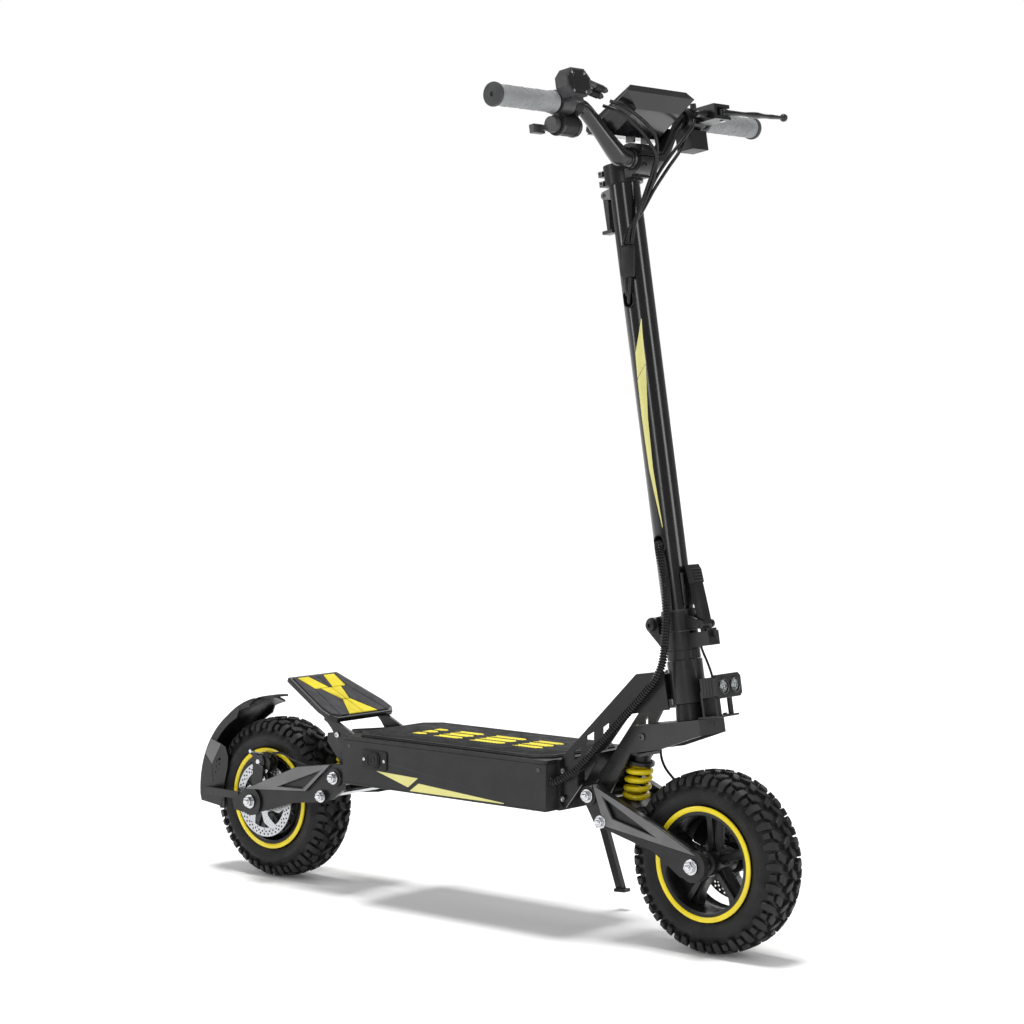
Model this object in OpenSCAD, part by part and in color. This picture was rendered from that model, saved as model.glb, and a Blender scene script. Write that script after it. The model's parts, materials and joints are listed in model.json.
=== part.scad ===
/* [Overall] */
// Distance between the two axles
wheelbase = 855; // [750:5:1030]
// Outer radius of both tyres
tyre_r = 127.5; // [106:0.5:153]
// Width across the ends of the handlebar grips
bar_w = 594; // [490:2:720]
// Lean of the steering axis from the vertical, in degrees
rake = 9.25; // [7:0.25:11.25]
// Length of the stem above the head tube base, to the bar clamp's top
stem_len = 757; // [640:1:910]

/* [Deck] */
// Width of the deck box
deck_w = 200; // [165:1:240]
// Height of the deck box
deck_h = 73; // [61:0.5:88]
// Height of the deck's underside above the axles
deck_over_axle = 55.5; // [46:0.5:67]
// Wall of the deck shell
deck_wall = 4; // [3:0.5:5]
// Thickness of the rubber mat
mat_t = 4; // [3:0.5:5]
// Gap from the front tyre to the deck
front_gap = 97.5; // [95:0.5:117]
// Gap from the rear tyre to the deck
rear_gap = 102.5; // [98:0.5:123]

/* [Steering head] */
// Height of the head tube's base above the front tyre
crown_gap = 89; // [85:0.5:106]
// Distance of the head tube's base behind the front axle
head_back = 47; // [40:0.5:56]
// Outer radius of the head tube
head_r = 25; // [23.5:0.5:30]
// Length of the head tube
head_len = 60; // [50:1:72]
// Radius of the steering tube
steer_r = 15; // [12.5:0.5:16]
// Outer radius of the headset bearings
bearing_r = 20.5; // [19:0.1:21.5]
// Radial running clearance of every shaft and pin
run_gap = 0.05; // [0.02:0.01:0.09]

/* [Fork] */
// Width of the fork channel
fork_w = 60; // [50:1:66]
// Thickness of the fork's sheet
fork_t = 4; // [3:0.5:5]

/* [Stem] */
// Outer radius of the stem tube
stem_r = 22; // [20:0.5:23.5]
// Wall of the stem tube
stem_wall = 3; // [2:0.5:4]
// Radius of the fold hinge pin
fold_pin_r = 5; // [4:0.5:6]
// Radius of the handlebar tube
bar_r = 11.1; // [9.5:0.1:13]
// Radius of the grips
grip_r = 14.5; // [13:0.5:17]
// Length of each grip
grip_len = 125; // [105:1:150]

/* [Wheels] */
// Half the width of the tyres
tyre_half = 37; // [31:0.5:41]
// Radius of the rim's flange
rim_r = 80.5; // [70:0.5:90]
// Radius of the brake rotors
rotor_r = 60; // [50:1:64]
// Radius of the axles
axle_r = 6; // [5:0.5:7]

/* [Suspension] */
// Distance of the front arm's outer face from the centre plane
front_arm_y = 60; // [57:0.5:66]
// Distance of the rear arm's outer face from the centre plane
rear_arm_y = 75; // [70:0.5:84]
// Thickness of the arms' side plates
arm_t = 12; // [9:0.5:13]
// Radius of the coil springs
coil_r = 16; // [13:0.5:18]
// Radius of the spring wire
wire_r = 4; // [3:0.25:4.5]

/* [Hidden] */
$fn = 48;

black = "#1b1b1d";
grey = "#6f7072";
yellow = "#e8dc1e";
steel = "#b9babd";

// Small clearance between pieces of one body that lie against each other
seat = 0.1;
// Clearance between pieces that move past each other
clear = 0.4;

// Fender
fender_gap = 31.5;
fender_t = 3.5;
fender_r = tyre_r + fender_gap + fender_t;

// Wheel centres, with the origin midway along the whole length
rear_x = (fender_r - tyre_r - wheelbase) / 2;
front_x = rear_x + wheelbase;
axle_z = tyre_r;
front_axle = [front_x, axle_z];
rear_axle = [rear_x, axle_z];

// Deck box
deck_x0 = rear_x + tyre_r + rear_gap;
deck_x1 = front_x - tyre_r - front_gap;
deck_l = deck_x1 - deck_x0;
deck_z0 = axle_z + deck_over_axle;
deck_z1 = deck_z0 + deck_h;
cover_t = 3;
top_t = 6;
shell_z0 = deck_z0 + cover_t;
shell_z1 = deck_z1 - top_t;

// Steering frame: its origin is the head tube's base, +W up along the stem and +U forward
head_x = front_x - head_back;
head_z = axle_z + tyre_r + crown_gap;
crown_w = -24;
cap_h = 14;
base_w0 = head_len + cap_h;
base_h = 26;
base_top = base_w0 + base_h;
foot_w0 = base_top + 0.5;
foot_h = 27;
fold_u = -38;
fold_w = foot_w0 + foot_h / 2 - 1;
clamp_w = stem_len + 5;
clamp_u = 30;
bar_rise = 68;
grip_w = clamp_w + bar_rise;
grip_u = clamp_u - 3;

// Suspension pivots and spring seats, in the XZ plane
front_pivot = [front_x - tyre_r - 54.5, axle_z + 79];
rear_pivot = [rear_x + tyre_r + 57.5, axle_z + 56];
pivot_r = 6;
boss_r = 16;

function unit(v) = v / norm(v);
function from_steer(u, w) = [
  head_x + u * cos(rake) - w * sin(rake),
  head_z + u * sin(rake) + w * cos(rake)
];
// A point beside the line from p to a: t of the way along it, and s above it
function beside(p, a, t, s) =
  let (d = unit(a - p), up = d[0] > 0 ? [-d[1], d[0]] : [d[1], -d[0]])
  p + t * (a - p) + s * up;
function beside_all(p, a, list) = [for (q = list) beside(p, a, q[0], q[1])];
function arc(centre, r, a0, a1, steps) =
  [for (i = [0:steps]) centre + r * [cos(a0 + (a1 - a0) * i / steps), sin(a0 + (a1 - a0) * i / steps)]];

// Smooth curve through a route's points
function spline_point(a, b, c, d, t) =
  0.5 * ((2 * b) + (c - a) * t + (2 * a - 5 * b + 4 * c - d) * t * t + (3 * b - a - 3 * c + d) * t * t * t);
function spline(p, n) = [
  for (i = [0:len(p) - 2], k = [0:n - 1])
    spline_point(p[max(i - 1, 0)], p[i], p[i + 1], p[min(i + 2, len(p) - 1)], k / n),
  p[len(p) - 1]
];
function tangents(p) = [for (i = [0:len(p) - 1]) unit(p[min(i + 1, len(p) - 1)] - p[max(i - 1, 0)])];
function across(t) = unit(cross(t, abs(t[2]) < 0.8 ? [0, 0, 1] : [1, 0, 0]));
function flattened(n, t) = unit(n - (n * t) * t);
function carried(t) = [
  for (i = 0, n = across(t[0]); i < len(t); i = i + 1, n = flattened(n, t[min(i, len(t) - 1)])) n
];

// A closed solid through a list of rings, each with the same number of points
module skin(rings) {
  n = len(rings[0]);
  points = [for (ring = rings, p = ring) p];
  walls = [
    for (i = [0:len(rings) - 2], k = [0:n - 1])
      let (j = (k + 1) % n)
      [i * n + k, (i + 1) * n + k, (i + 1) * n + j, i * n + j]
  ];
  first = [for (k = [0:n - 1]) k];
  last = [for (k = [n - 1:-1:0]) (len(rings) - 1) * n + k];
  polyhedron(points, concat([first], walls, [last]));
}

// A round tube of radius r swept along points p
module sweep(p, r, sides = 8) {
  t = tangents(p);
  n = carried(t);
  skin([
    for (i = [0:len(p) - 1])
      [for (k = [0:sides - 1])
        let (a = 360 * k / sides)
        p[i] + r * (cos(a) * n[i] + sin(a) * cross(t[i], n[i]))]
  ]);
}

// A round bar from point a to point b
module rod(a, b, r) {
  v = b - a;
  translate(a)
    rotate([0, acos(v[2] / norm(v)), atan2(v[1], v[0])])
      cylinder(r = r, h = norm(v));
}

// A round bar along Y, centred on y
module rod_y(xz, y, length, r) {
  translate([xz[0], y + length / 2, xz[1]])
    rotate([90, 0, 0])
      cylinder(r = r, h = length);
}

// An outline in the XZ plane, from y0 to y1
module slab_y(y0, y1) {
  translate([0, y1, 0])
    rotate([90, 0, 0])
      linear_extrude(y1 - y0)
        children();
}

module both_sides() {
  children();
  mirror([0, 1, 0]) children();
}

module on_steer() {
  translate([head_x, 0, head_z])
    rotate([0, -rake, 0])
      children();
}

module block(x, y, z) {
  translate([x[0], y[0], z[0]])
    cube([x[1] - x[0], y[1] - y[0], z[1] - z[0]]);
}

module chamfered(l, w, c) {
  polygon([
    [-l / 2 + c, -w / 2], [l / 2 - c, -w / 2], [l / 2, -w / 2 + c], [l / 2, w / 2 - c],
    [l / 2 - c, w / 2], [-l / 2 + c, w / 2], [-l / 2, w / 2 - c], [-l / 2, -w / 2 + c]
  ]);
}

// Hexagon head with a washer under it, standing along +Z
module bolt_head(r) {
  cylinder(r = r * 1.25, h = 1.5);
  cylinder(r = r, h = r * 0.9, $fn = 6);
}

module bolt_end(xz, y, r) {
  translate([xz[0], y, xz[1]])
    rotate([y > 0 ? -90 : 90, 0, 0])
      bolt_head(r);
}

// ---------------------------------------------------------------- deck

deck_mid_x = (deck_x0 + deck_x1) / 2;

module deck_shell() {
  color(black)
    difference() {
      block([deck_x0, deck_x1], [-deck_w / 2, deck_w / 2], [shell_z0, shell_z1]);
      block([deck_x0 + deck_wall, deck_x1 - deck_wall], [-deck_w / 2 + deck_wall, deck_w / 2 - deck_wall],
            [shell_z0 - 1, shell_z1 + 1]);
      charge_hole(socket_r + 1);
    }
}

module deck_bottom_cover() {
  color(black) {
    block([deck_x0, deck_x1], [-deck_w / 2, deck_w / 2], [deck_z0, shell_z0 - seat]);
    stand_bracket();
  }
}

module deck_top_plate() {
  color(black)
    translate([deck_mid_x, 0, shell_z1 + seat])
      linear_extrude(top_t - seat)
        chamfered(deck_l, deck_w, 3);
}

module deck_mat() {
  mat_margin = 8;
  mat_chamfer = 24;
  color(black)
    translate([deck_mid_x, 0, deck_z1 + seat])
      linear_extrude(mat_t)
        chamfered(deck_l - 2 * mat_margin, deck_w - 2 * mat_margin, mat_chamfer);
}

module battery_pack() {
  battery_l = 0.66 * deck_l;
  color("#2a4d7a")
    block([deck_x1 - deck_wall - 12 - battery_l, deck_x1 - deck_wall - 12],
          [-deck_w / 2 + deck_wall + 8, deck_w / 2 - deck_wall - 8], [deck_z0 + cover_t, shell_z1 - 6]);
}

module motor_controller() {
  controller_l = 0.2 * deck_l;
  color(steel)
    block([deck_x0 + deck_wall + 6, deck_x0 + deck_wall + 6 + controller_l],
          [-deck_w / 2 + deck_wall + 46, deck_w / 2 - deck_wall - 20], [deck_z0 + cover_t, shell_z1 - 20]);
}

module deck_screws() {
  screw_r = 3;
  screw_head = 1.8;
  color(steel) {
    for (i = [0:3], side = [-1, 1])
      translate([deck_x0 + 30 + i * (deck_l - 60) / 3, side * (deck_w / 2 - 10), deck_z0 - screw_head - seat])
        cylinder(r = screw_r, h = screw_head);
    for (dx = [-socket_l / 2 + 3, socket_l / 2 - 9])
      rod_y([charge_x + dx, charge_z], -deck_w / 2 - 2 - 0.7, 1, 2);
  }
}

// ---------------------------------------------------------------- charge socket

charge_x = deck_x0 + 68;
charge_z = deck_z0 + 42;
socket_r = 8;
socket_l = 50;
socket_h = 29;
flap_hinge = [charge_x - 2, charge_z + socket_h / 2 - 3];

module charge_hole(r) {
  rod_y([charge_x - 2, charge_z], -deck_w / 2, 30, r);
}

module charge_socket() {
  color(black)
    difference() {
      union() {
        rod_y([charge_x - 2, charge_z], -deck_w / 2 + 8, 16, socket_r + 0.9);
        translate([charge_x, -deck_w / 2 - seat, charge_z])
          rotate([90, 0, 0])
            linear_extrude(2)
              chamfered(socket_l, socket_h, 3);
      }
      rod_y([charge_x - 2, charge_z], -deck_w / 2 - 1, 28, socket_r - 2);
    }
}

module charge_cover() {
  color(black)
    translate([charge_x - 2, -deck_w / 2 - 2 - seat - clear, charge_z])
      rotate([90, 0, 0])
        linear_extrude(2.5)
          chamfered(26, socket_h - 5, 4);
}

// ---------------------------------------------------------------- kickstand

stand_x = deck_x1 - 62;
stand_z = deck_z0 - 23;
stand_splay = 18;
stand_lean = 4;
stand_len = 136;
stand_y = deck_w / 2 - 2;

module on_stand() {
  translate([stand_x, stand_y, stand_z])
    rotate([stand_splay, 0, 0])
      children();
}

module stand_bracket() {
  on_stand()
    difference() {
      union() {
        block([-11, 11], [-9, -5], [-8, 24]);
        rod_y([0, 0], -7, 4, 11);
      }
      rod_y([0, 0], -7, 6, 4);
    }
  block([stand_x - 16, stand_x + 16], [stand_y - 28, stand_y - 6], [deck_z0 - 4, deck_z0 + 1]);
}

module kickstand() {
  color(black)
    on_stand() {
      rod_y([0, 0], 0, 9, 10);
      rod_y([0, 0], -7.5, 8, 4 - run_gap);
      rotate([0, -stand_lean, 0]) {
        block([-6.5, 6.5], [-4.5, 4.5], [-stand_len, 0]);
        rotate([-stand_splay, 0, 0])
          translate([0, stand_len * sin(stand_splay), -stand_len * cos(stand_splay)])
            block([-8, 13], [-8, 6], [-4, 1]);
      }
    }
}

// ---------------------------------------------------------------- neck and head tube

neck_t = 5;
neck_y0 = 64;
neck_y1 = 20;
neck_turn = atan((neck_y0 - neck_y1) / (head_x - 6 - deck_x1));

// Neck outline from the deck's front face, as distance forward and height
neck_top = from_steer(-20, head_len - 12);
neck_low = from_steer(-20, -6);

function neck_along(x) = (x - deck_x1) / cos(neck_turn);

module neck_outline() {
  brow_x = neck_top[0] - 40;
  chin = from_steer(-78, -6);
  polygon([
    [0, deck_z0 + 1],
    [neck_along(deck_x1 + 4), deck_z0],
    [neck_along(chin[0]), chin[1]],
    [neck_along(neck_low[0]), neck_low[1]],
    [neck_along(neck_top[0]), neck_top[1]],
    [neck_along(brow_x), neck_top[1] - 6],
    [0, deck_z1 + 2]
  ]);
}

module neck_windows() {
  rise = (head_z - deck_z0) / 161;
  // Each window: distance forward, height above the deck's underside, width and height
  for (w = [[24, 80, 11, 17], [44, 102, 12, 20], [68, 118, 10, 16], [60, 70, 14, 34], [30, 46, 12, 24]])
    translate([w[0], deck_z0 + w[1] * rise])
      polygon([[-w[2] / 2, -w[3] / 2], [w[2] / 2, -w[3] / 2 + 6], [w[2] / 2, w[3] / 2 + 3],
               [-w[2] / 2, w[3] / 2 - 5]]);
}

module neck_plate() {
  translate([deck_x1 + 1, neck_y0, 0])
    rotate([0, 0, -neck_turn])
      slab_y(-neck_t / 2, neck_t / 2)
        difference() {
          neck_outline();
          neck_windows();
        }
}

module neck_frame() {
  web = from_steer(-22, 4);
  color(black)
    difference() {
      union() {
        both_sides() neck_plate();
        block([deck_x1 + seat, deck_x1 + 6], [-neck_y0 - 12, neck_y0 + 12], [deck_z0, deck_z1]);
        on_steer() cylinder(r = head_r, h = head_len);
        on_steer() block([-44, -20], [-24, 24], [8, head_len - 16]);
      }
      on_steer() translate([0, 0, -1]) cylinder(r = bearing_r - 2, h = head_len + 2);
      on_steer() translate([0, 0, -1]) cylinder(r = bearing_r, h = 13);
      on_steer() translate([0, 0, head_len - 12]) cylinder(r = bearing_r, h = 13);
    }
}

module headset_bearings() {
  color(steel)
    on_steer()
      for (w = [0.5, head_len - 11.5])
        translate([0, 0, w])
          difference() {
            cylinder(r = bearing_r - run_gap, h = 11);
            translate([0, 0, -1]) cylinder(r = steer_r + run_gap, h = 13);
          }
}

// ---------------------------------------------------------------- kick plate

// Front and rear edge lines of the kick plate's top face, in the XZ plane
kick_front = [deck_x0 - 47, deck_z1 + 18];
kick_rear = [rear_x + 66, deck_z1 + 72];
kick_t = 8;
kick_slope = atan((kick_rear[1] - kick_front[1]) / (kick_front[0] - kick_rear[0]));
kick_l = norm(kick_rear - kick_front);

module on_kick() {
  translate([kick_front[0], 0, kick_front[1]])
    rotate([0, kick_slope, 0])
      children();
}

module kick_outline(inset) {
  k = inset;
  polygon([
    [-k, -61 + k], [-k, 61 - k], [-12, 71 - k], [-34, 72 - k], [-kick_l + k, 54 - k], [-kick_l + k, -54 + k],
    [-34, -72 + k], [-12, -71 + k]
  ]);
}

module kick_plate() {
  color(black)
    on_kick()
      translate([0, 0, -kick_t])
        linear_extrude(kick_t)
          kick_outline(0);
}

module kick_plate_pad() {
  color(grey)
    on_kick()
      translate([0, 0, seat])
        linear_extrude(2)
          kick_outline(5);
}

module kick_plate_support() {
  plate_y = 58;
  under = kick_t + seat;
  far = [kick_front[0] - 62 * cos(kick_slope), kick_front[1] + 62 * sin(kick_slope)];
  color(black) {
    both_sides()
      difference() {
        slab_y(plate_y - 5, plate_y)
          polygon([
            [deck_x0 - seat, deck_z0 + 24],
            [deck_x0 - 28, deck_z0 + 40],
            [deck_x0 - 46, deck_z1 - 24],
            [deck_x0 - 66, deck_z1 + 1],
            [far[0] + 3, far[1] - 9],
            [far[0], far[1] + 12],
            [kick_front[0], kick_front[1] + 12],
            [deck_x0 - 8, deck_z1 - 2],
            [deck_x0 - seat, deck_z1 - 8]
          ]);
        on_kick() translate([0, 0, -under]) linear_extrude(60) square(400, center = true);
      }
    on_kick() block([-30, -18], [-plate_y + 1, plate_y - 1], [-under - 12, -under]);
    block([deck_x0 - 6, deck_x0 - seat], [-plate_y + 1, plate_y - 1], [deck_z0 + 30, deck_z1 - 8]);
  }
}

// ---------------------------------------------------------------- rear bracket and spring

rear_bracket_y = 30;
rear_spring_low = beside(rear_pivot, rear_axle, 0.2, 12);
rear_spring_high = rear_spring_low + [2, 46];

module rear_bracket() {
  color(black)
    difference() {
      union() {
        both_sides()
          slab_y(rear_bracket_y - 5, rear_bracket_y)
            union() {
              translate(rear_pivot) circle(boss_r);
              polygon([
                [deck_x0 - seat, deck_z0 + 1],
                rear_pivot + [2, -boss_r],
                rear_pivot + [-boss_r, 2],
                rear_spring_high + [-18, 0],
                rear_spring_high + [-18, 14],
                [deck_x0 - seat - 20, deck_z1 - 2],
                [deck_x0 - seat - 7, deck_z0 + 30],
                [deck_x0 - seat, deck_z0 + 30]
              ]);
            }
        block([deck_x0 - 6, deck_x0 - seat], [-rear_bracket_y - 22, rear_bracket_y + 22],
              [deck_z0 + 1, deck_z0 + 28]);
        block([rear_spring_high[0] - 18, rear_spring_high[0] + 22], [-rear_bracket_y + 1, rear_bracket_y - 1],
              [rear_spring_high[1] + 4.8, rear_spring_high[1] + 12]);
        rod_y(rear_pivot, 0, 2 * rear_bracket_y, 10);
      }
      rod_y(rear_pivot, 0, 2 * rear_bracket_y + 2, pivot_r + run_gap);
    }
}

module coil(length) {
  turns = 4.25;
  steps = 14;
  count = floor(turns * steps);
  rise = length - 2 * wire_r;
  sweep([
    for (i = [0:count])
      [coil_r * cos(360 * i / steps), coil_r * sin(360 * i / steps), wire_r + rise * i / count]
  ], wire_r, 8);
}

module rear_spring() {
  span = rear_spring_high - rear_spring_low;
  color(yellow)
    translate([rear_spring_low[0], 0, rear_spring_low[1]])
      rotate([0, atan2(span[0], span[1]), 0])
        translate([0, 0, 0.6])
          coil(norm(span) + 4);
}

// ---------------------------------------------------------------- wiring loom

loom_r = 6;
// Route of the loom from the deck's front face to the clip beside the fold
loom_low_route = [
  [221.8, -88, 225], [227, -88, 225.5], [240, -82, 234], [260, -73, 250], [286, -64, 280], [317, -56, 315],
  [347, -49, 348], [369, -44, 375], [379, -41, 397], [383, -40, 418], [383.5, -40, 423]
];
// Route from the clip up to the lower hole of the stem
loom_high_route = [
  [383.6, -40, 424.4], [384, -40, 429], [385, -39, 450], [385, -38, 474], [382, -38, 512], [374, -37, 543],
  [367, -32, 559], [363, -27, 564], [362, -21, 565], [362, -15, 565]
];

module loom_lower() {
  color(black) sweep(spline(loom_low_route, 4), loom_r, 12);
}

module loom_upper() {
  color(black) sweep(spline(loom_high_route, 4), loom_r, 12);
}

// ---------------------------------------------------------------- fork and lamp

front_spring_low = beside(front_pivot, front_axle, 0.2, 9);
spring_tilt = rake;
spring_free = 48;
front_spring_high = front_spring_low + spring_free * [sin(spring_tilt), cos(spring_tilt)];

module fork_outline() {
  polygon([
    from_steer(-84, crown_w),
    from_steer(33, crown_w),
    from_steer(33, crown_w - 22),
    from_steer(-40, crown_w - 36),
    front_spring_high + [6, 22],
    front_pivot + [18, 3],
    front_pivot + [0, -boss_r],
    front_pivot + [-boss_r, 2]
  ]);
}

module fork() {
  color(black)
    difference() {
      union() {
        both_sides()
          slab_y(fork_w / 2 - fork_t, fork_w / 2) {
            fork_outline();
            translate(front_pivot) circle(boss_r);
          }
        on_steer() {
          block([-84, 33], [-fork_w / 2 + 1, fork_w / 2 - 1], [crown_w - 5, crown_w]);
          block([33 - fork_t, 33], [-fork_w / 2 + 1, fork_w / 2 - 1], [crown_w - 22, crown_w - 4]);
          translate([0, 0, crown_w - 4]) cylinder(r = steer_r, h = base_w0 + base_h - 4 - crown_w);
        }
        slab_y(-fork_w / 2 + 1, fork_w / 2 - 1)
          polygon([
            from_steer(-84, crown_w),
            from_steer(-79, crown_w - 4),
            front_pivot + [-9, 15],
            front_pivot + [-14, 15]
          ]);
        rod_y(front_pivot, 0, fork_w, 10);
      }
      on_steer() translate([0, 0, crown_w - 9]) cylinder(r = steer_r - 3.5, h = 200);
      rod_y(front_pivot, 0, fork_w + 2, pivot_r + run_gap);
    }
}

module front_spring_seat() {
  span = front_spring_high - front_spring_low;
  color(black)
    translate([front_spring_high[0], 0, front_spring_high[1]])
      rotate([0, spring_tilt, 0])
      {
        translate([0, 0, 4]) cylinder(r = coil_r + wire_r + 0.5, h = 5);
        translate([0, 0, 8]) cylinder(r = coil_r - 2, h = 16);
        block([-6, 15], [-fork_w / 2 + fork_t + seat, fork_w / 2 - fork_t - seat], [20, 25]);
      }
}

module front_spring() {
  color(yellow)
    translate([front_spring_low[0], 0, front_spring_low[1]])
      rotate([0, spring_tilt, 0])
        translate([0, 0, 0.6])
          coil(spring_free + 3);
}

module headset_cap() {
  cone_h = -crown_w - clear;
  color(black)
    on_steer()
      difference() {
        union() {
          translate([0, 0, crown_w + seat]) cylinder(r1 = head_r - 3, r2 = head_r - 4.5, h = cone_h - seat);
          translate([0, 0, head_len + clear]) cylinder(r = head_r - 1.5, h = cap_h - clear - seat);
        }
        translate([0, 0, crown_w - 1]) cylinder(r = steer_r + run_gap, h = 120);
      }
}

module headlight_body() {
  color(black)
    on_steer()
      difference() {
        union() {
          block([lamp_u - 30, lamp_u - 4], [-27, 27], [5, 32]);
          translate([lamp_u - 8, 0, 18.5]) rotate([0, 90, 0]) linear_extrude(8) chamfered(33, 58, 5);
        }
        for (y = [-lens_y, lens_y])
          translate([lamp_u - 5, y, 18.5]) rotate([0, 90, 0]) cylinder(r = lens_r + 0.1, h = 10);
      }
}

lamp_u = 71;
lens_y = 13;
lens_r = 9.5;

module headlight_lenses() {
  color("white")
    on_steer()
      for (y = [-lens_y, lens_y])
        translate([lamp_u - 4.8, y, 18.5]) rotate([0, 90, 0]) cylinder(r = lens_r, h = 3.6);
}

module lamp_bracket() {
  color(black)
    on_steer() {
      block([27, 66], [-22, 22], [crown_w + seat, crown_w + 3]);
      block([34, 38], [-20, 20], [crown_w + 2, 14]);
      block([34, lamp_u - 30 - seat], [-20, 20], [10, 14]);
      for (y = [-14, 14])
        block([56, 60], [y - 4, y + 4], [crown_w + 2, 5 - seat]);
    }
}

// ---------------------------------------------------------------- fold

ear_y = 9;
ear_t = 6;

module fold_base() {
  color(black)
    on_steer()
      difference() {
        union() {
          translate([0, 0, base_w0]) cylinder(r = head_r - 1, h = base_h);
          both_sides()
            slab_y(ear_y, ear_y + ear_t) {
              translate([fold_u, fold_w]) circle(11);
              polygon([[fold_u - 9, fold_w - 6], [fold_u + 11, fold_w - 2], [fold_u + 11, base_top - 1],
                       [-14, base_top - 1], [-14, base_w0 + 2], [-head_r + 2, base_w0 + 2]]);
            }
          block([14, latch_u + 11], [-13, 13], [base_w0 + 2, base_top - 4]);
          block([latch_u + 6.4, latch_u + 11], [-9, 9], [base_top - 5, base_top - 0.4]);
          translate([latch_u + 10, 0, base_top - 9]) rotate([0, 90, 0]) cylinder(r = 5, h = 6);
        }
        block([latch_u - 14, latch_u + 6.4], [-9.2, 9.2], [base_top - 7.5, base_top + 1]);
        translate([0, 0, base_w0 - 1]) cylinder(r = steer_r + run_gap, h = base_h - 3);
        rod_y([fold_u, fold_w], 0, 60, fold_pin_r + run_gap);
      }
}

module fold_pin() {
  color(black)
    on_steer() {
      rod_y([fold_u, fold_w], 0, 2 * (ear_y + ear_t) + 6, fold_pin_r);
      for (side = [-1, 1])
        rod_y([fold_u, fold_w], side * (ear_y + ear_t + 3.3), 6, fold_pin_r + 3);
    }
}

module stem_foot() {
  color(black)
    on_steer()
      difference() {
        union() {
          translate([0, 0, foot_w0]) cylinder(r = stem_r + 3, h = foot_h);
          slab_y(-ear_y + clear, ear_y - clear) {
            translate([fold_u, fold_w]) circle(10.5);
            polygon([[fold_u, fold_w - 10.5], [-10, foot_w0 + 2], [-10, foot_w0 + foot_h - 2],
                     [fold_u, fold_w + 10.5]]);
          }
          both_sides()
            slab_y(ear_y + 1, ear_y + 5) {
              translate([latch_u, latch_w]) circle(6);
              polygon([[latch_u, latch_w - 6], [latch_u, latch_w + 6], [16, foot_w0 + foot_h - 2],
                       [16, foot_w0 + 3]]);
            }
        }
        translate([0, 0, foot_w0 + 4]) cylinder(r = stem_r + seat, h = foot_h);
        rod_y([fold_u, fold_w], 0, 60, fold_pin_r + run_gap);
        rod_y([latch_u, latch_w], 0, 60, 3 + run_gap);
      }
}

latch_u = 44;
latch_w = base_top + 6;
latch_len = 84;

module latch_lever() {
  top = latch_w + latch_len;
  color(grey)
    on_steer() {
      rod_y([latch_u, latch_w], 0, 2 * (ear_y + 5), 3);
      slab_y(-ear_y + 0.6, ear_y - 0.6) {
        translate([latch_u, latch_w]) circle(5.5);
        polygon([[latch_u - 5, latch_w], [latch_u + 5, latch_w], [latch_u + 1, latch_w + latch_len * 0.45],
                 [latch_u - 4, top - 8], [latch_u - 8, top], [latch_u - 14, top - 2],
                 [latch_u - 12, latch_w + latch_len * 0.5]]);
        // Tongue that drops behind the base's front lip
        polygon([[latch_u - 4, latch_w - 12.5], [latch_u + 3, latch_w - 12.5], [latch_u + 4, latch_w],
                 [latch_u - 4, latch_w]]);
      }
      slab_y(-12, 12)
        polygon([[latch_u - 2, top - 26], [latch_u - 4, top - 8], [latch_u - 8, top], [latch_u - 14, top - 2],
                 [latch_u - 11, top - 26]]);
    }
}

// ---------------------------------------------------------------- stem

hole_low_w = 224;
hole_high_w = 569;
hole_w = 18;
hole_h = 26;
hook_u = -31;
hook_w = stem_len - 34;
stem_top = stem_len - 18;

module oval(w, h) {
  for (side = [-1, 1])
    translate([0, side * (h - w) / 2]) circle(w / 2);
  square([w, h - w], center = true);
}

module stem_tube() {
  color(black)
    on_steer() {
      difference() {
        translate([0, 0, foot_w0 + 4.2]) cylinder(r = stem_r, h = stem_top - foot_w0 - 4.2);
        translate([0, 0, foot_w0 + 10]) cylinder(r = stem_r - stem_wall, h = stem_len);
        for (w = [hole_low_w, hole_high_w])
          translate([0, -stem_r + 6, w]) rotate([90, 0, 0]) linear_extrude(20) oval(hole_w, hole_h);
      }
      both_sides()
        slab_y(6.5, 9.5)
          difference() {
            union() {
              translate([hook_u, hook_w]) circle(6);
              polygon([[hook_u, hook_w - 6], [hook_u, hook_w + 6], [-stem_r + 2.5, hook_w + 8],
                       [-stem_r + 2.5, hook_w - 8]]);
            }
            translate([hook_u, hook_w]) circle(3 + run_gap);
          }
      translate([stem_r - 1, -13, foot_w0 + 34]) cube([5, 26, 46]);
    }
}

module stem_hook() {
  color(grey)
    on_steer() {
      rod_y([hook_u, hook_w], 0, 19, 3);
      slab_y(-6, 6) {
        translate([hook_u, hook_w]) circle(6);
        polygon([
          [hook_u - 6, hook_w], [hook_u + 4, hook_w], [hook_u + 1, hook_w - 50], [hook_u - 5, hook_w - 50]
        ]);
      }
      block([hook_u - 12, hook_u + 6], [-9, 9], [hook_w - 54, hook_w - 49]);
    }
}

module stem_grommets() {
  color(black)
    on_steer()
      for (w = [hole_low_w, hole_high_w])
        translate([0, -stem_r + 4, w])
          rotate([90, 0, 0])
            linear_extrude(7)
              difference() {
                oval(hole_w - 0.2, hole_h - 0.2);
                oval(hole_w - 4, hole_h - 4);
              }
}

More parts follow.
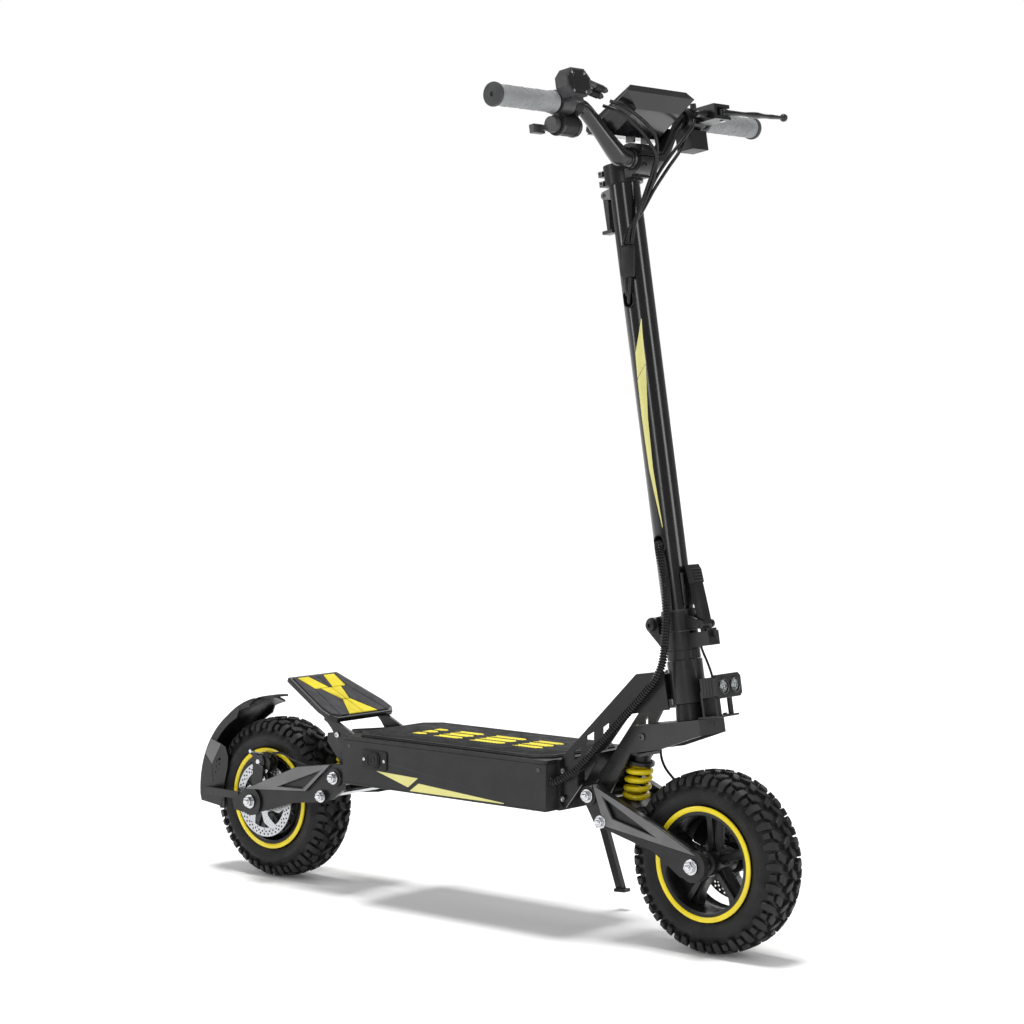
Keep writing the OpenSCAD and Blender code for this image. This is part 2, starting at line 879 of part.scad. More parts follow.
module bar_clamp() {
  color(black)
    on_steer()
      difference() {
        union() {
          translate([0, 0, stem_len - 24]) cylinder(r = stem_r + 5, h = 28);
          slab_y(-20, 20)
            translate([clamp_u, clamp_w]) circle(22);
          block([0, clamp_u], [-20, 20], [stem_len - 20, clamp_w + 14]);
          for (w = [stem_len - 18, stem_len - 4])
            block([-stem_r - 13, -stem_r], [-12, 12], [w - 4, w + 4]);
        }
        translate([0, 0, stem_len - 60]) cylinder(r = stem_r + seat, h = 42 + seat);
        rod_y([clamp_u, clamp_w], 0, 60, bar_sleeve_r + seat);
        block([clamp_u + bar_sleeve_r - 2, clamp_u + 40], [-30, 30], [clamp_w - 1, clamp_w + 1]);
      }
}

// ---------------------------------------------------------------- handlebar

bar_sleeve_r = 15.9;
bar_end = bar_w / 2;
bend_in = 42;
bend_out = 112;

// The left half's bend, from the sleeve in the clamp out to the grip
bend_route = [
  [clamp_u, 24, clamp_w],
  [clamp_u, bend_in - 6, clamp_w + 1],
  [clamp_u - 0.3, bend_in + 8, clamp_w + 8],
  [grip_u + 0.3, bend_out - 12, grip_w - 9],
  [grip_u, bend_out + 4, grip_w - 1],
  [grip_u, bend_out + 18, grip_w]
];
bend_r = bar_r + 0.6;

module handlebar() {
  color(black)
    on_steer() {
      rod_y([clamp_u, clamp_w], 0, 52, bar_sleeve_r);
      both_sides() {
        sweep(spline(bend_route, 4), bend_r, 20);
        rod_y([grip_u, grip_w], (bar_end - 4 + bend_out + 17) / 2, bar_end - 4 - bend_out - 17, bar_r);
      }
    }
}

module grips() {
  color("#8b9094")
    on_steer()
      both_sides()
        difference() {
          rod_y([grip_u, grip_w], bar_end - grip_len / 2, grip_len, grip_r);
          rod_y([grip_u, grip_w], bar_end - grip_len / 2 - 4, grip_len, bar_r + seat);
        }
}

// A clamp ring around the bar with its centre at y
module bar_ring(y, width, r, bore = ring_bore) {
  difference() {
    rod_y([grip_u, grip_w], y, width, r);
    rod_y([grip_u, grip_w], y, width + 2, bore);
  }
}

ring_y = bar_end - grip_len - 18;
ring_bore = bar_r + 0.8;

module brake_body_right() {
  color(grey)
    on_steer()
      difference() {
        union() {
          bar_ring(-ring_y, 26, 17);
          translate([grip_u + 17.5, -ring_y - 3, grip_w + 20])
            rotate([0, 90, 0])
              linear_extrude(20)
                chamfered(38, 52, 12);
          block([grip_u + 12, grip_u + 30], [-ring_y - 12, -ring_y + 12], [grip_w - 4, grip_w + 12]);
          for (i = [0, 1])
            rod([grip_u + 21 + 9 * i, -ring_y + 18, grip_w + 20 + 6 * i],
                [grip_u + 21 + 9 * i, -ring_y + 62, grip_w + 10 + 6 * i], 4.5);
        }
        rod_y([grip_u, grip_w], -ring_y, 90, ring_bore);
      }
}

throttle_w = grip_w - 32;
throttle_u = grip_u + 2;
throttle_y = -ring_y;
throttle_half = 21;

module throttle_body() {
  color(black)
    on_steer()
      difference() {
        union() {
          bar_ring(-ring_y + 24, 16, 15.5);
          block([grip_u - 9, grip_u + 11], [-ring_y + 15, -ring_y + 21], [throttle_w, grip_w - 12]);
          rod_y([throttle_u, throttle_w], throttle_y, 2 * throttle_half, 14);
        }
        rod_y([throttle_u, throttle_w], throttle_y - throttle_half, 12, 3 + run_gap);
        rod_y([grip_u, grip_w], -ring_y, 90, ring_bore);
      }
}

module throttle_paddle() {
  y1 = throttle_y - throttle_half - clear;
  color(grey)
    on_steer() {
      rod_y([throttle_u, throttle_w], y1 - 1, 12, 3);
      rod_y([throttle_u, throttle_w], y1 - 5, 10, 11);
      block([throttle_u - 22, throttle_u - 4], [y1 - 10, y1], [throttle_w - 5, throttle_w + 2]);
      block([throttle_u - 26, throttle_u - 18], [y1 - 24, y1], [throttle_w - 8, throttle_w + 4]);
    }
}

lever_u = grip_u + 42;
lever_w = grip_w + 2;
lever_y = ring_y + 6;

module brake_body_left() {
  color(black)
    on_steer()
      difference() {
        union() {
          bar_ring(ring_y - 12, 24, 17);
          block([grip_u + 10, lever_u + 8], [ring_y - 22, lever_y + 10], [lever_w - 11, lever_w + 11]);
          rod([lever_u - 8, ring_y - 20, lever_w], [lever_u - 4, ring_y - 54, lever_w - 5], 4.5);
          translate([grip_u + 8, ring_y - 14, grip_w + 10]) cylinder(r = 4.5, h = 12);
        }
        rod_y([grip_u, grip_w], ring_y, 90, ring_bore);
        block([grip_u + 26, lever_u + 30], [lever_y - 22, lever_y + 30], [lever_w - 6, lever_w + 6]);
        translate([lever_u, lever_y, lever_w - 20]) cylinder(r = 3 + run_gap, h = 40);
      }
}

module brake_lever() {
  reach = bar_end - 6 - lever_y;
  color(black)
    on_steer()
      translate([lever_u, lever_y, lever_w]) {
        translate([0, 0, -11]) cylinder(r = 3, h = 22);
        difference() {
          translate([0, 0, -5.5])
            linear_extrude(11)
              polygon([
                [-9, -8], [8, -8], [10, 10], [15, 0.3 * reach], [17, 0.6 * reach], [20, 0.93 * reach],
                [23, reach], [13, reach], [9, 0.93 * reach], [4, 0.6 * reach], [2, 0.3 * reach], [-6, 12]
              ]);
        }
        translate([18, reach, 0]) sphere(r = 6);
      }
}

pod_y0 = ring_y - 36;
pod_y1 = ring_y + 2;
pod_w0 = grip_w - 46;
// The pod's ring goes round the end of the bend, so its bore is wider
pod_bore = ring_bore + 1;

module switch_pod() {
  color(black)
    on_steer()
      difference() {
        union() {
          bar_ring(pod_y0 + 4, 12, pod_bore + 3, pod_bore);
          block([grip_u - 14, grip_u + 14], [pod_y0, pod_y1], [pod_w0, grip_w - 18]);
          block([grip_u - 8, grip_u + 8], [pod_y0, pod_y0 + 9], [grip_w - 19, grip_w - 13.5]);
        }
        block([grip_u - 16, grip_u - 8], [pod_y0 + 9, pod_y1 - 9], [pod_w0 + 8, pod_w0 + 20]);
      }
}

module switch_rocker() {
  color(yellow)
    on_steer()
      block([grip_u - 17, grip_u - 11], [pod_y0 + 9 + 1.5 * clear, pod_y1 - 9 - 1.5 * clear],
            [pod_w0 + 8 + clear, pod_w0 + 20 - clear]);
}

// ---------------------------------------------------------------- display

display_foot = from_steer(clamp_u, clamp_w);
display_tilt = 39.5;
face_tilt = atan(48 / 79);

module display_profile() {
  translate(display_foot)
    polygon([[35, 96], [40, 87], [35, 64], [-5, 31], [-34, 31], [-46, 38], [-48, 44], [-44, 48]]);
}

module display_body() {
  color(black) {
    difference() {
      intersection() {
        slab_y(-90, 90) display_profile();
        translate([display_foot[0] + 35, 0, display_foot[1] + 80])
          rotate([0, 90 - display_tilt, 0])
            translate([0, 0, -140])
              linear_extrude(280)
                display_section();
      }
      on_button() translate([0, 0, -3]) cylinder(r = 5, h = 10);
      on_steer() both_sides() sweep(spline(bend_route, 4), bend_r + 2 * clear, 20);
    }
    display_bracket();
  }
}

// Section across the display, from its top face down past its underside
module display_section() {
  polygon([
    [-27, -56], [-27, 56], [-12.3, 64], [-2.2, 77], [12.3, 50], [30, 50],
    [30, -50], [12.3, -50], [-2.2, -77], [-12.3, -64]
  ]);
}

// The button's place on the display's sloping top face, with +Z standing out of the face
module on_button() {
  face = display_foot + [-20, 62.6];
  translate([face[0], 0, face[1]])
    rotate([0, -face_tilt, 0])
      children();
}

module display_bracket() {
  x = display_foot[0];
  z = display_foot[1];
  both_sides()
    block([x - 8, x + 6], [15, 19], [z + 22.4, z + 31.5]);
}

module mode_button() {
  color(grey)
    on_button() translate([0, 0, -1.5]) cylinder(r = 5 - clear, h = 3.5);
}

// ---------------------------------------------------------------- cables on the bar

cable_r = 2.5;
sleeve_x = 312;
sleeve_y = -33;
sleeve_z0 = 936;
sleeve_z1 = 980;
// Cables from the controls to the sleeve, then on into the stem's upper hole
cable_routes = [
  [
    [322, -86, 1174], [338, -74, 1166], [348, -48, 1150],
    [350, -24, 1134], [347, -12, 1114], [340, -10, 1088],
    [328, -16, 1049], [321, -27, 1012], [319.5, -33, 980.9]
  ],
  [
    [312, -88, 1168], [336, -80, 1158], [344, -54, 1140],
    [346, -28, 1120], [345, -10, 1100], [337, -8, 1070],
    [326, -17, 1035], [316, -30, 1003], [314.5, -33, 980.9]
  ],
  [
    [328, 100, 1162], [342, 76, 1150], [346, 44, 1126], [343, 20, 1102], [335, 3, 1076], [324, -10, 1042],
    [313, -26, 1006], [309.5, -33, 980.9]
  ],
  [
    [314, 100, 1146], [336, 70, 1136], [348, 38, 1112], [345, 16, 1088], [333, 0, 1058], [320, -12, 1026],
    [308, -29, 998], [304.5, -33, 980.9]
  ],
  [[309, -33, 935.2], [308.5, -32, 927], [307, -28, 914], [306.5, -22, 908], [306.5, -13, 907]],
  [[316, -33, 935.2], [315, -32.5, 924], [311, -29, 907], [308, -23, 899], [307, -13, 897.8]]
];

module bar_cables() {
  color(black)
    for (route = cable_routes)
      sweep(spline(route, 3), cable_r, 8);
}

module cable_sleeve() {
  color(black)
    translate([sleeve_x, sleeve_y, sleeve_z0])
      linear_extrude(sleeve_z1 - sleeve_z0)
        union() {
          for (side = [-1, 1])
            translate([side * 7.5, 0]) circle(4.5);
          square([15, 9], center = true);
        }
}

// ---------------------------------------------------------------- arms

front_arm_outline = [
  [0.01, 18.7], [0.66, 21.5], [1.02, 18.6], [1.02, -20], [0.93, -25], [0.65, -16], [0.51, -21], [0.23, -30],
  [0.145, -36], [0, -16], [-0.07, 0]
];
front_facet = [[0.01, 18.7], [0.66, 21.5], [1.02, 18.6], [0.22, -24.3]];
front_window = [[0.146, 11], [0.61, 6.2], [0.27, -6.7]];
rear_arm_outline = [
  [-0.11, 15.4], [0, 21.2], [0.387, 32.3], [1.04, 21.5], [1.23, 11], [1.23, -5], [1.04, -20], [0.53, -20],
  [0.24, -30], [0.1, -31.5], [-0.05, -22]
];
rear_facet = [[0.005, 21.2], [0.387, 32.3], [1.04, 21.5], [0.342, -8]];
rear_window = [[0.154, 15.4], [0.616, 10.3], [0.371, -2.1]];
facet_t = 5;

module arm_side(p, a, y_out, y_pivot, outline, facet, window) {
  difference() {
    union() {
      slab_y(y_out - arm_t, y_out - facet_t) polygon(beside_all(p, a, outline));
      slab_y(y_out - facet_t - 1, y_out)
        difference() {
          polygon(beside_all(p, a, facet));
          polygon(beside_all(p, a, window));
        }
      slab_y(y_out - arm_t, y_out - 1) translate(a) circle(22);
      slab_y(y_pivot + clear, y_out - 1) translate(p) circle(14);
    }
    rod_y(p, y_out, 120, pivot_r + run_gap);
    rod_y(a, y_out, 120, axle_r + run_gap);
    rod_y(beside(p, a, cross_t, cross_s), y_out, 120, cross_r + run_gap);
  }
}

cross_t = 0.18;
cross_s = -22;
cross_r = 4;

module arm_bridge(p, a, half) {
  slab_y(-half, half)
    polygon(beside_all(p, a, [[0.135, 2], [0.135, 8], [0.3, 8], [0.3, 2]]));
}

module front_arms() {
  color(black) {
    both_sides()
      arm_side(front_pivot, front_axle, front_arm_y, fork_w / 2,
               front_arm_outline, front_facet, front_window);
    arm_bridge(front_pivot, front_axle, front_arm_y - arm_t + 1);
  }
}

module rear_arms() {
  color(black) {
    both_sides()
      arm_side(rear_pivot, rear_axle, rear_arm_y, rear_bracket_y,
               rear_arm_outline, rear_facet, rear_window);
    arm_bridge(rear_pivot, rear_axle, rear_arm_y - arm_t + 1);
  }
}

// Shafts through both arms, each with a bolt head at both ends
module shafts(p, a, y_out) {
  cross_at = beside(p, a, cross_t, cross_s);
  for (s = [[p, pivot_r, 9], [a, axle_r, 12], [cross_at, cross_r, 8]]) {
    rod_y(s[0], 0, 2 * y_out + 4, s[1]);
    for (side = [-1, 1])
      bolt_end(s[0], side * (y_out + seat), s[2]);
  }
}

module front_shafts() {
  color(steel) shafts(front_pivot, front_axle, front_arm_y);
}

module rear_shafts() {
  color(steel) shafts(rear_pivot, rear_axle, rear_arm_y);
}

// ---------------------------------------------------------------- wheels

module tyre(centre) {
  h = tyre_half;
  r = tyre_r;
  bead = rim_r - 4;
  translate([centre[0], 0, centre[1]])
    rotate([90, 0, 0])
      rotate_extrude($fn = 96)
        polygon([
          [bead, -0.72 * h], [rim_r + 3, -0.88 * h], [r - 36, -0.98 * h], [r - 24, -h], [r - 14, -0.94 * h],
          [r - 6.5, -0.82 * h], [r - 2, -0.6 * h], [r - 0.5, -0.3 * h], [r, 0], [r - 0.5, 0.3 * h],
          [r - 2, 0.6 * h], [r - 6.5, 0.82 * h], [r - 14, 0.94 * h], [r - 24, h], [r - 36, 0.98 * h],
          [rim_r + 3, 0.88 * h], [bead, 0.72 * h], [bead, 0.54 * h], [rim_r + 4, 0.66 * h],
          [r - 26, 0.78 * h], [r - 14, 0.62 * h], [r - 10, 0], [r - 14, -0.62 * h], [r - 26, -0.78 * h],
          [rim_r + 4, -0.66 * h], [bead, -0.54 * h]
        ]);
}

module front_tyre() {
  color(black) tyre(front_axle);
}

module rear_tyre() {
  color(black) tyre(rear_axle);
}

// Rim barrel with two flanges that stand outside the tyre's beads
module rim_barrel() {
  h = tyre_half;
  bead = rim_r - 4 - seat;
  rotate([90, 0, 0])
    rotate_extrude($fn = 96)
      polygon([
        [bead - 8, -0.86 * h], [rim_r, -0.9 * h], [rim_r, -0.88 * h + 0.5], [bead, -0.72 * h - 0.3],
        [bead, 0.72 * h + 0.3], [rim_r, 0.88 * h - 0.5], [rim_r, 0.9 * h],
        [bead - 8, 0.86 * h], [bead - 5, 0.5 * h],
        [bead - 5, -0.5 * h]
      ]);
}

hub_r = 20;
hub_half = 38;
front_bearing_r = 14;

module front_rim() {
  color(black)
    translate([front_x, 0, axle_z]) {
      difference() {
        union() {
          rim_barrel();
          rod_y([0, 0], 0, 2 * hub_half, hub_r);
          for (a = [0:72:288])
            rotate([0, a, 0])
              slab_y(-13, 13)
                polygon([[10, -9], [10, 9], [rim_r - 8, 14], [rim_r - 8, -14]]);
        }
        rod_y([0, 0], 0, 100, axle_r + 3);
        for (side = [-1, 1])
          rod_y([0, 0], side * hub_half, 18, front_bearing_r);
      }
      for (side = [-1, 1])
        difference() {
          rod_y([0, 0], side * (hub_half - 4.6), 8.6, front_bearing_r - run_gap);
          rod_y([0, 0], side * hub_half, 30, axle_r + run_gap);
        }
    }
}

rotor_y = 43;
rotor_t = 2;

module rotor(centre, y) {
  holes = 18;
  translate([centre[0], y, centre[1]])
    rotate([90, 0, 0])
      translate([0, 0, -rotor_t / 2])
        linear_extrude(rotor_t)
          difference() {
            circle(rotor_r, $fn = 96);
            circle(rotor_bore);
            for (a = [0:60:300])
              rotate(a)
                polygon(concat(arc([0, 0], rotor_r - 13, -17, 17, 4), arc([0, 0], 27, 12, -12, 3)));
            for (i = [0:holes - 1])
              rotate(i * 360 / holes)
                translate([rotor_r - (i % 2 == 0 ? 4.5 : 8.5), 0]) circle(1.8, $fn = 16);
          }
}

rotor_bore = 14;

module front_rotor() {
  color(steel)
    difference() {
      union() {
        rotor(front_axle, rotor_y);
        rod_y(front_axle, (rotor_y + hub_half) / 2 + 0.3, rotor_y - hub_half, hub_r);
      }
      rod_y(front_axle, rotor_y, 30, rotor_bore);
    }
}

motor_half = 30;
motor_r = 62;

module rear_hub_motor() {
  color(black)
    translate([rear_x, 0, axle_z])
      difference() {
        union() {
          rim_barrel();
          rod_y([0, 0], 0, 2 * motor_half, motor_r);
          rod_y([0, 0], 0, 12, rim_r - 6);
          rod_y([0, 0], 0, 2 * (rotor_y - 1.1), 24);
        }
        rod_y([0, 0], 0, 120, axle_r + run_gap);
      }
}

module rear_rotor() {
  color(steel) rotor(rear_axle, -rotor_y);
}

// ---------------------------------------------------------------- calipers and fender

// A two-sided caliper over the rotor's edge, at angle a round the axle, on side s of the wheel
module caliper(axle, s, a, y_arm) {
  translate([axle[0], 0, axle[1]])
    rotate([0, -a, 0]) {
      difference() {
        block([rotor_r - 16, rotor_r + 14], s > 0 ? [rotor_y - 6, y_arm] : [-y_arm, -rotor_y + 6], [-22, 22]);
        translate([0, s * rotor_y, 0])
          rotate([90, 0, 0])
            translate([0, 0, -1.8])
              cylinder(r = rotor_r + 3, h = 3.6);
      }
      translate([rotor_r + 8, s * (y_arm - 4.2), 26])
        cylinder(r = 4, h = 16);
      translate([rotor_r + 8, s * (y_arm - 4.2), 20])
        cylinder(r = 2.5, h = 10);
      block([24, rotor_r], s > 0 ? [y_arm - 2, y_arm] : [-y_arm, -y_arm + 2], [-12, 12]);
    }
}

module front_caliper() {
  color(black) caliper(front_axle, 1, 150, front_arm_y - arm_t - seat);
}

module rear_caliper() {
  color(black) caliper(rear_axle, -1, 84, rear_arm_y - arm_t - seat);
}

fender_half = 40;
// Angles round the axle: the tongue's tip, the full width's front edge, the skirts' front and the rear edge
fender_tip = 92;
fender_front = 104;
skirt_front = 112;
fender_back = 183;
tongue_half = 16;

// Section across the fender, as distance from the axle and place across the width
fender_section = [
  [fender_r - 10, -fender_half], [fender_r - 2.5, -26], [fender_r, -12], [fender_r, 12],
  [fender_r - 2.5, 26], [fender_r - 10, fender_half], [fender_r - 10 - fender_t, fender_half],
  [fender_r - 2.5 - fender_t, 24], [fender_r - fender_t, 11], [fender_r - fender_t, -11],
  [fender_r - 2.5 - fender_t, -24], [fender_r - 10 - fender_t, -fender_half]
];

module fender_shell(a0, a1) {
  steps = 26;
  skin([
    for (i = [0:steps])
      let (a = a0 + (a1 - a0) * i / steps)
      [for (p = fender_section) [p[0] * cos(a), p[1], p[0] * sin(a)]]
  ]);
}

module fender_skirt() {
  skirt_in = 96;
  slab_y(fender_half - 2.2, fender_half + 0.6)
    polygon(concat(
      arc([0, 0], fender_r - 9, skirt_front, fender_back, 20),
      [[-fender_r + 12, -18], [-skirt_in, -24], [-skirt_in, -6], [-skirt_in - 14, 56]],
      arc([0, 0], fender_r - 22, 150, skirt_front + 6, 8)
    ));
  block([-skirt_in - 24, -40], [rear_arm_y - arm_t - 4, rear_arm_y - arm_t - seat], [-2, 10]);
  block([-skirt_in - 24, -skirt_in - 12], [fender_half - 1, rear_arm_y - arm_t - seat], [-2, 10]);
}

module rear_fender() {
  color(black)
    translate([rear_x, 0, axle_z]) {
      difference() {
        fender_shell(fender_tip, fender_back);
        both_sides()
          rotate([0, -fender_front, 0])
            block([100, fender_r + 10], [tongue_half, 60], [-60, 0]);
      }
      both_sides() fender_skirt();
    }
}

// ---------------------------------------------------------------- every node

deck_shell();
deck_bottom_cover();
deck_top_plate();
deck_mat();
battery_pack();
motor_controller();
neck_frame();
headset_bearings();
kick_plate();
kick_plate_pad();
kick_plate_support();
rear_bracket();
charge_socket();
deck_screws();
loom_lower();
kickstand();
charge_cover();
fork();
headset_cap();
fold_base();
fold_pin();
headlight_body();
headlight_lenses();
lamp_bracket();
front_spring_seat();
front_spring();
stem_tube();
stem_foot();
stem_grommets();
bar_clamp();
handlebar();
grips();
brake_body_right();
throttle_body();
brake_body_left();
switch_pod();
display_body();
bar_cables();
cable_sleeve();
loom_upper();
brake_lever();
throttle_paddle();
switch_rocker();
mode_button();
latch_lever();
stem_hook();
front_arms();
front_shafts();
front_caliper();
front_tyre();
front_rim();
front_rotor();
rear_arms();
rear_shafts();
rear_fender();
rear_caliper();
rear_spring();
rear_tyre();
rear_hub_motor();
rear_rotor();
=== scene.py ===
"""The looks of an electric kick scooter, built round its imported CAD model.

Lengths are in millimetres until mesh() turns them into metres.
"""
import json
import math

import bmesh
import bpy
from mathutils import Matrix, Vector
from mathutils.geometry import tessellate_polygon


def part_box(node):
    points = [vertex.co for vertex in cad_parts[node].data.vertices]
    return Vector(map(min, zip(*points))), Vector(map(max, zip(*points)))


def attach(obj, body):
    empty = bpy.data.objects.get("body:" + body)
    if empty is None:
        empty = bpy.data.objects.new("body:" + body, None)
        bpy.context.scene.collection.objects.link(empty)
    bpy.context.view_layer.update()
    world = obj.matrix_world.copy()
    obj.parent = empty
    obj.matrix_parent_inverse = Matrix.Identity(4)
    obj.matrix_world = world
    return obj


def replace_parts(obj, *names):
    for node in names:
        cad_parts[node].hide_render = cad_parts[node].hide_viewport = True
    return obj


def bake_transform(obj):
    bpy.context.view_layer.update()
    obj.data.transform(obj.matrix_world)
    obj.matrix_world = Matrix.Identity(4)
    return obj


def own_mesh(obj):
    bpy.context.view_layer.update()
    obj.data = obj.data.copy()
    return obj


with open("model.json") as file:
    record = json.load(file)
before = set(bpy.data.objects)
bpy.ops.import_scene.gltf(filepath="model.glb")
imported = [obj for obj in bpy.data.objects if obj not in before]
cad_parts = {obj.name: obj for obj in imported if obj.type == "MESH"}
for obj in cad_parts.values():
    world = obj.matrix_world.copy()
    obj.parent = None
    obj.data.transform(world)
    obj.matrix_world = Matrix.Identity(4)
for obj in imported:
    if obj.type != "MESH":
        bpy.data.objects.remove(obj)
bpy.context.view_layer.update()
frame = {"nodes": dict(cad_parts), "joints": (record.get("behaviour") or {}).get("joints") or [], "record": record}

record = frame["record"]
joints = {j["name"]: j for j in frame["joints"]}
body_of_node = {n: b for b, nodes in record["behaviour"]["bodies"].items() for n in nodes}
slot_of_node = {s["node"]: s["material_slot"] for s in record["subparts"]}


# ---------------------------------------------------------------- places from the CAD model

def at(joint):
    """A joint's point at rest, in mm."""
    return Vector(joints[joint]["pos_m"]) * 1000


def corners(node):
    """Lowest and highest corner of a CAD node, in mm."""
    low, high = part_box(node)
    return low * 1000, high * 1000


HEAD = at("steering")
RAKE = math.asin(-joints["steering"]["axis"][0])
FRONT_PIVOT = at("front_arm_pivot")
FRONT_AXLE = at("front_wheel_spin")
REAR_PIVOT = at("rear_arm_pivot")
REAR_AXLE = at("rear_wheel_spin")
TYRE_R = FRONT_AXLE.z
TYRE_HALF = corners("front_tyre")[1].y
RIM_R = (corners("front_rim")[1].x - corners("front_rim")[0].x) / 2
DECK_LOW, DECK_HIGH = corners("deck_shell")
DECK_TOP = corners("deck_top_plate")[1].z
BAR_END = corners("grips")[1].y
FRONT_ARM_Y = corners("front_arms")[1].y
REAR_ARM_Y = corners("rear_arms")[1].y


def steer(u, v, w):
    """World point from the steering frame: u forward of the axis, v to the left, w up along it."""
    s, c = math.sin(RAKE), math.cos(RAKE)
    return Vector((HEAD.x + u * c - w * s, HEAD.y + v, HEAD.z + u * s + w * c))


def to_steer(p):
    """The other way round: a world point in the steering frame."""
    s, c = math.sin(RAKE), math.cos(RAKE)
    dx, dz = p[0] - HEAD.x, p[2] - HEAD.z
    return Vector((dx * c + dz * s, p[1], -dx * s + dz * c))


GRIP = to_steer((corners("grips")[0] + corners("grips")[1]) / 2)
GRIP_LEN = 125
GRIP_START = BAR_END - GRIP_LEN
RING_Y = GRIP_START - 18
BAR_R = 11.1
CLAMP = Vector((GRIP.x + 3, 0, GRIP.z - 68))
STEM_R = (corners("stem_tube")[1].y - corners("stem_tube")[0].y) / 2
UP_STEM = steer(0, 0, 1) - steer(0, 0, 0)
AHEAD = steer(1, 0, 0) - steer(0, 0, 0)
ACROSS = Vector((0, 1, 0))


# ---------------------------------------------------------------- materials

def material(name):
    """A new material with one Principled shader, and what links to it."""
    m = bpy.data.materials.new(name)
    m.use_nodes = True
    nodes = m.node_tree.nodes
    nodes.clear()
    shader = nodes.new("ShaderNodeBsdfPrincipled")
    out = nodes.new("ShaderNodeOutputMaterial")
    m.node_tree.links.new(shader.outputs[0], out.inputs[0])
    return m, nodes, m.node_tree.links, shader


def noise(nodes, links, place, scale, detail=3.0, rough=0.55):
    """Noise over the surface, from 0 to 1."""
    n = nodes.new("ShaderNodeTexNoise")
    n.inputs["Scale"].default_value = scale
    n.inputs["Detail"].default_value = detail
    n.inputs["Roughness"].default_value = rough
    links.new(place, n.inputs["Vector"])
    return n.outputs["Fac"]


def ranged(nodes, links, value, low, high, a=0.35, b=0.65):
    """Maps a value from a..b to low..high."""
    r = nodes.new("ShaderNodeMapRange")
    r.inputs["From Min"].default_value = a
    r.inputs["From Max"].default_value = b
    r.inputs["To Min"].default_value = low
    r.inputs["To Max"].default_value = high
    links.new(value, r.inputs["Value"])
    return r.outputs[0]


def mixed(nodes, links, fac, a, b):
    """Blends two colours, each given as numbers or as a socket."""
    m = nodes.new("ShaderNodeMix")
    m.data_type = "RGBA"
    links.new(fac, m.inputs["Factor"])
    for value, socket in ((a, m.inputs["A"]), (b, m.inputs["B"])):
        if isinstance(value, tuple):
            socket.default_value = (*value, 1)
        else:
            links.new(value, socket)
    return m.outputs["Result"]


def scaled(colour, k):
    """The colour made lighter or darker, up to full brightness."""
    return tuple(min(1.0, c * k) for c in colour)


def surface(name, colour, rough=0.45, metal=0.0, coat=0.0, grain=700.0, depth=0.05, vary=0.25,
            painted_edge_highlight_colour=None, painted_edge_highlight=0.0, spec=0.34, coat_rough=0.2):
    """A painted, moulded or bare surface: uneven colour and gloss, fine grain, and a painted highlight that
    lightens its sharp convex edges.
    """
    m, nodes, links, shader = material(name)
    place = nodes.new("ShaderNodeTexCoord").outputs["Object"]
    cloud = ranged(nodes, links, noise(nodes, links, place, 22.0), 0.0, 1.0)
    base = mixed(nodes, links, cloud, scaled(colour, 1 - vary), scaled(colour, 1 + vary))
    # Painted highlight: sharp convex edges, found by pointiness, get a lighter copy of the colour.
    if painted_edge_highlight > 0:
        edge = nodes.new("ShaderNodeNewGeometry").outputs["Pointiness"]
        edge = ranged(nodes, links, edge, 0.0, painted_edge_highlight, 0.53, 0.62)
        base = mixed(nodes, links, edge, base, painted_edge_highlight_colour or scaled(colour, 4))
    links.new(base, shader.inputs["Base Color"])
    gloss = ranged(nodes, links, noise(nodes, links, place, 55.0, 4.0), rough * 0.82, min(1.0, rough * 1.2))
    links.new(gloss, shader.inputs["Roughness"])
    bump = nodes.new("ShaderNodeBump")
    bump.inputs["Strength"].default_value = 0.6
    bump.inputs["Distance"].default_value = depth / 1000
    links.new(noise(nodes, links, place, grain, 2.0), bump.inputs["Height"])
    links.new(bump.outputs["Normal"], shader.inputs["Normal"])
    shader.inputs["Metallic"].default_value = metal
    shader.inputs["Coat Weight"].default_value = coat
    shader.inputs["Coat Roughness"].default_value = coat_rough
    shader.inputs["Specular IOR Level"].default_value = spec
    return m


def brushed(name, colour, rough, stretch):
    """Bare metal with fine lines: stretch squeezes the noise along one axis."""
    m, nodes, links, shader = material(name)
    place = nodes.new("ShaderNodeTexCoord").outputs["Object"]
    squeeze = nodes.new("ShaderNodeMapping")
    squeeze.inputs["Scale"].default_value = stretch
    links.new(place, squeeze.inputs["Vector"])
    lines = noise(nodes, links, squeeze.outputs[0], 300.0, 4.0)
    links.new(mixed(nodes, links, ranged(nodes, links, lines, 0, 1), scaled(colour, 0.8),
                    scaled(colour, 1.1)),
              shader.inputs["Base Color"])
    links.new(ranged(nodes, links, lines, rough * 0.7, rough * 1.35), shader.inputs["Roughness"])
    bump = nodes.new("ShaderNodeBump")
    bump.inputs["Strength"].default_value = 0.35
    bump.inputs["Distance"].default_value = 0.00005
    links.new(lines, bump.inputs["Height"])
    links.new(bump.outputs["Normal"], shader.inputs["Normal"])
    shader.inputs["Metallic"].default_value = 1.0
    return m


def clear_lens(name):
    """Clear plastic with slightly uneven gloss."""
    m, nodes, links, shader = material(name)
    place = nodes.new("ShaderNodeTexCoord").outputs["Object"]
    links.new(ranged(nodes, links, noise(nodes, links, place, 80.0), 0.02, 0.07), shader.inputs["Roughness"])
    shader.inputs["Base Color"].default_value = (0.92, 0.95, 0.97, 1)
    shader.inputs["Transmission Weight"].default_value = 1.0
    shader.inputs["IOR"].default_value = 1.49
    return m


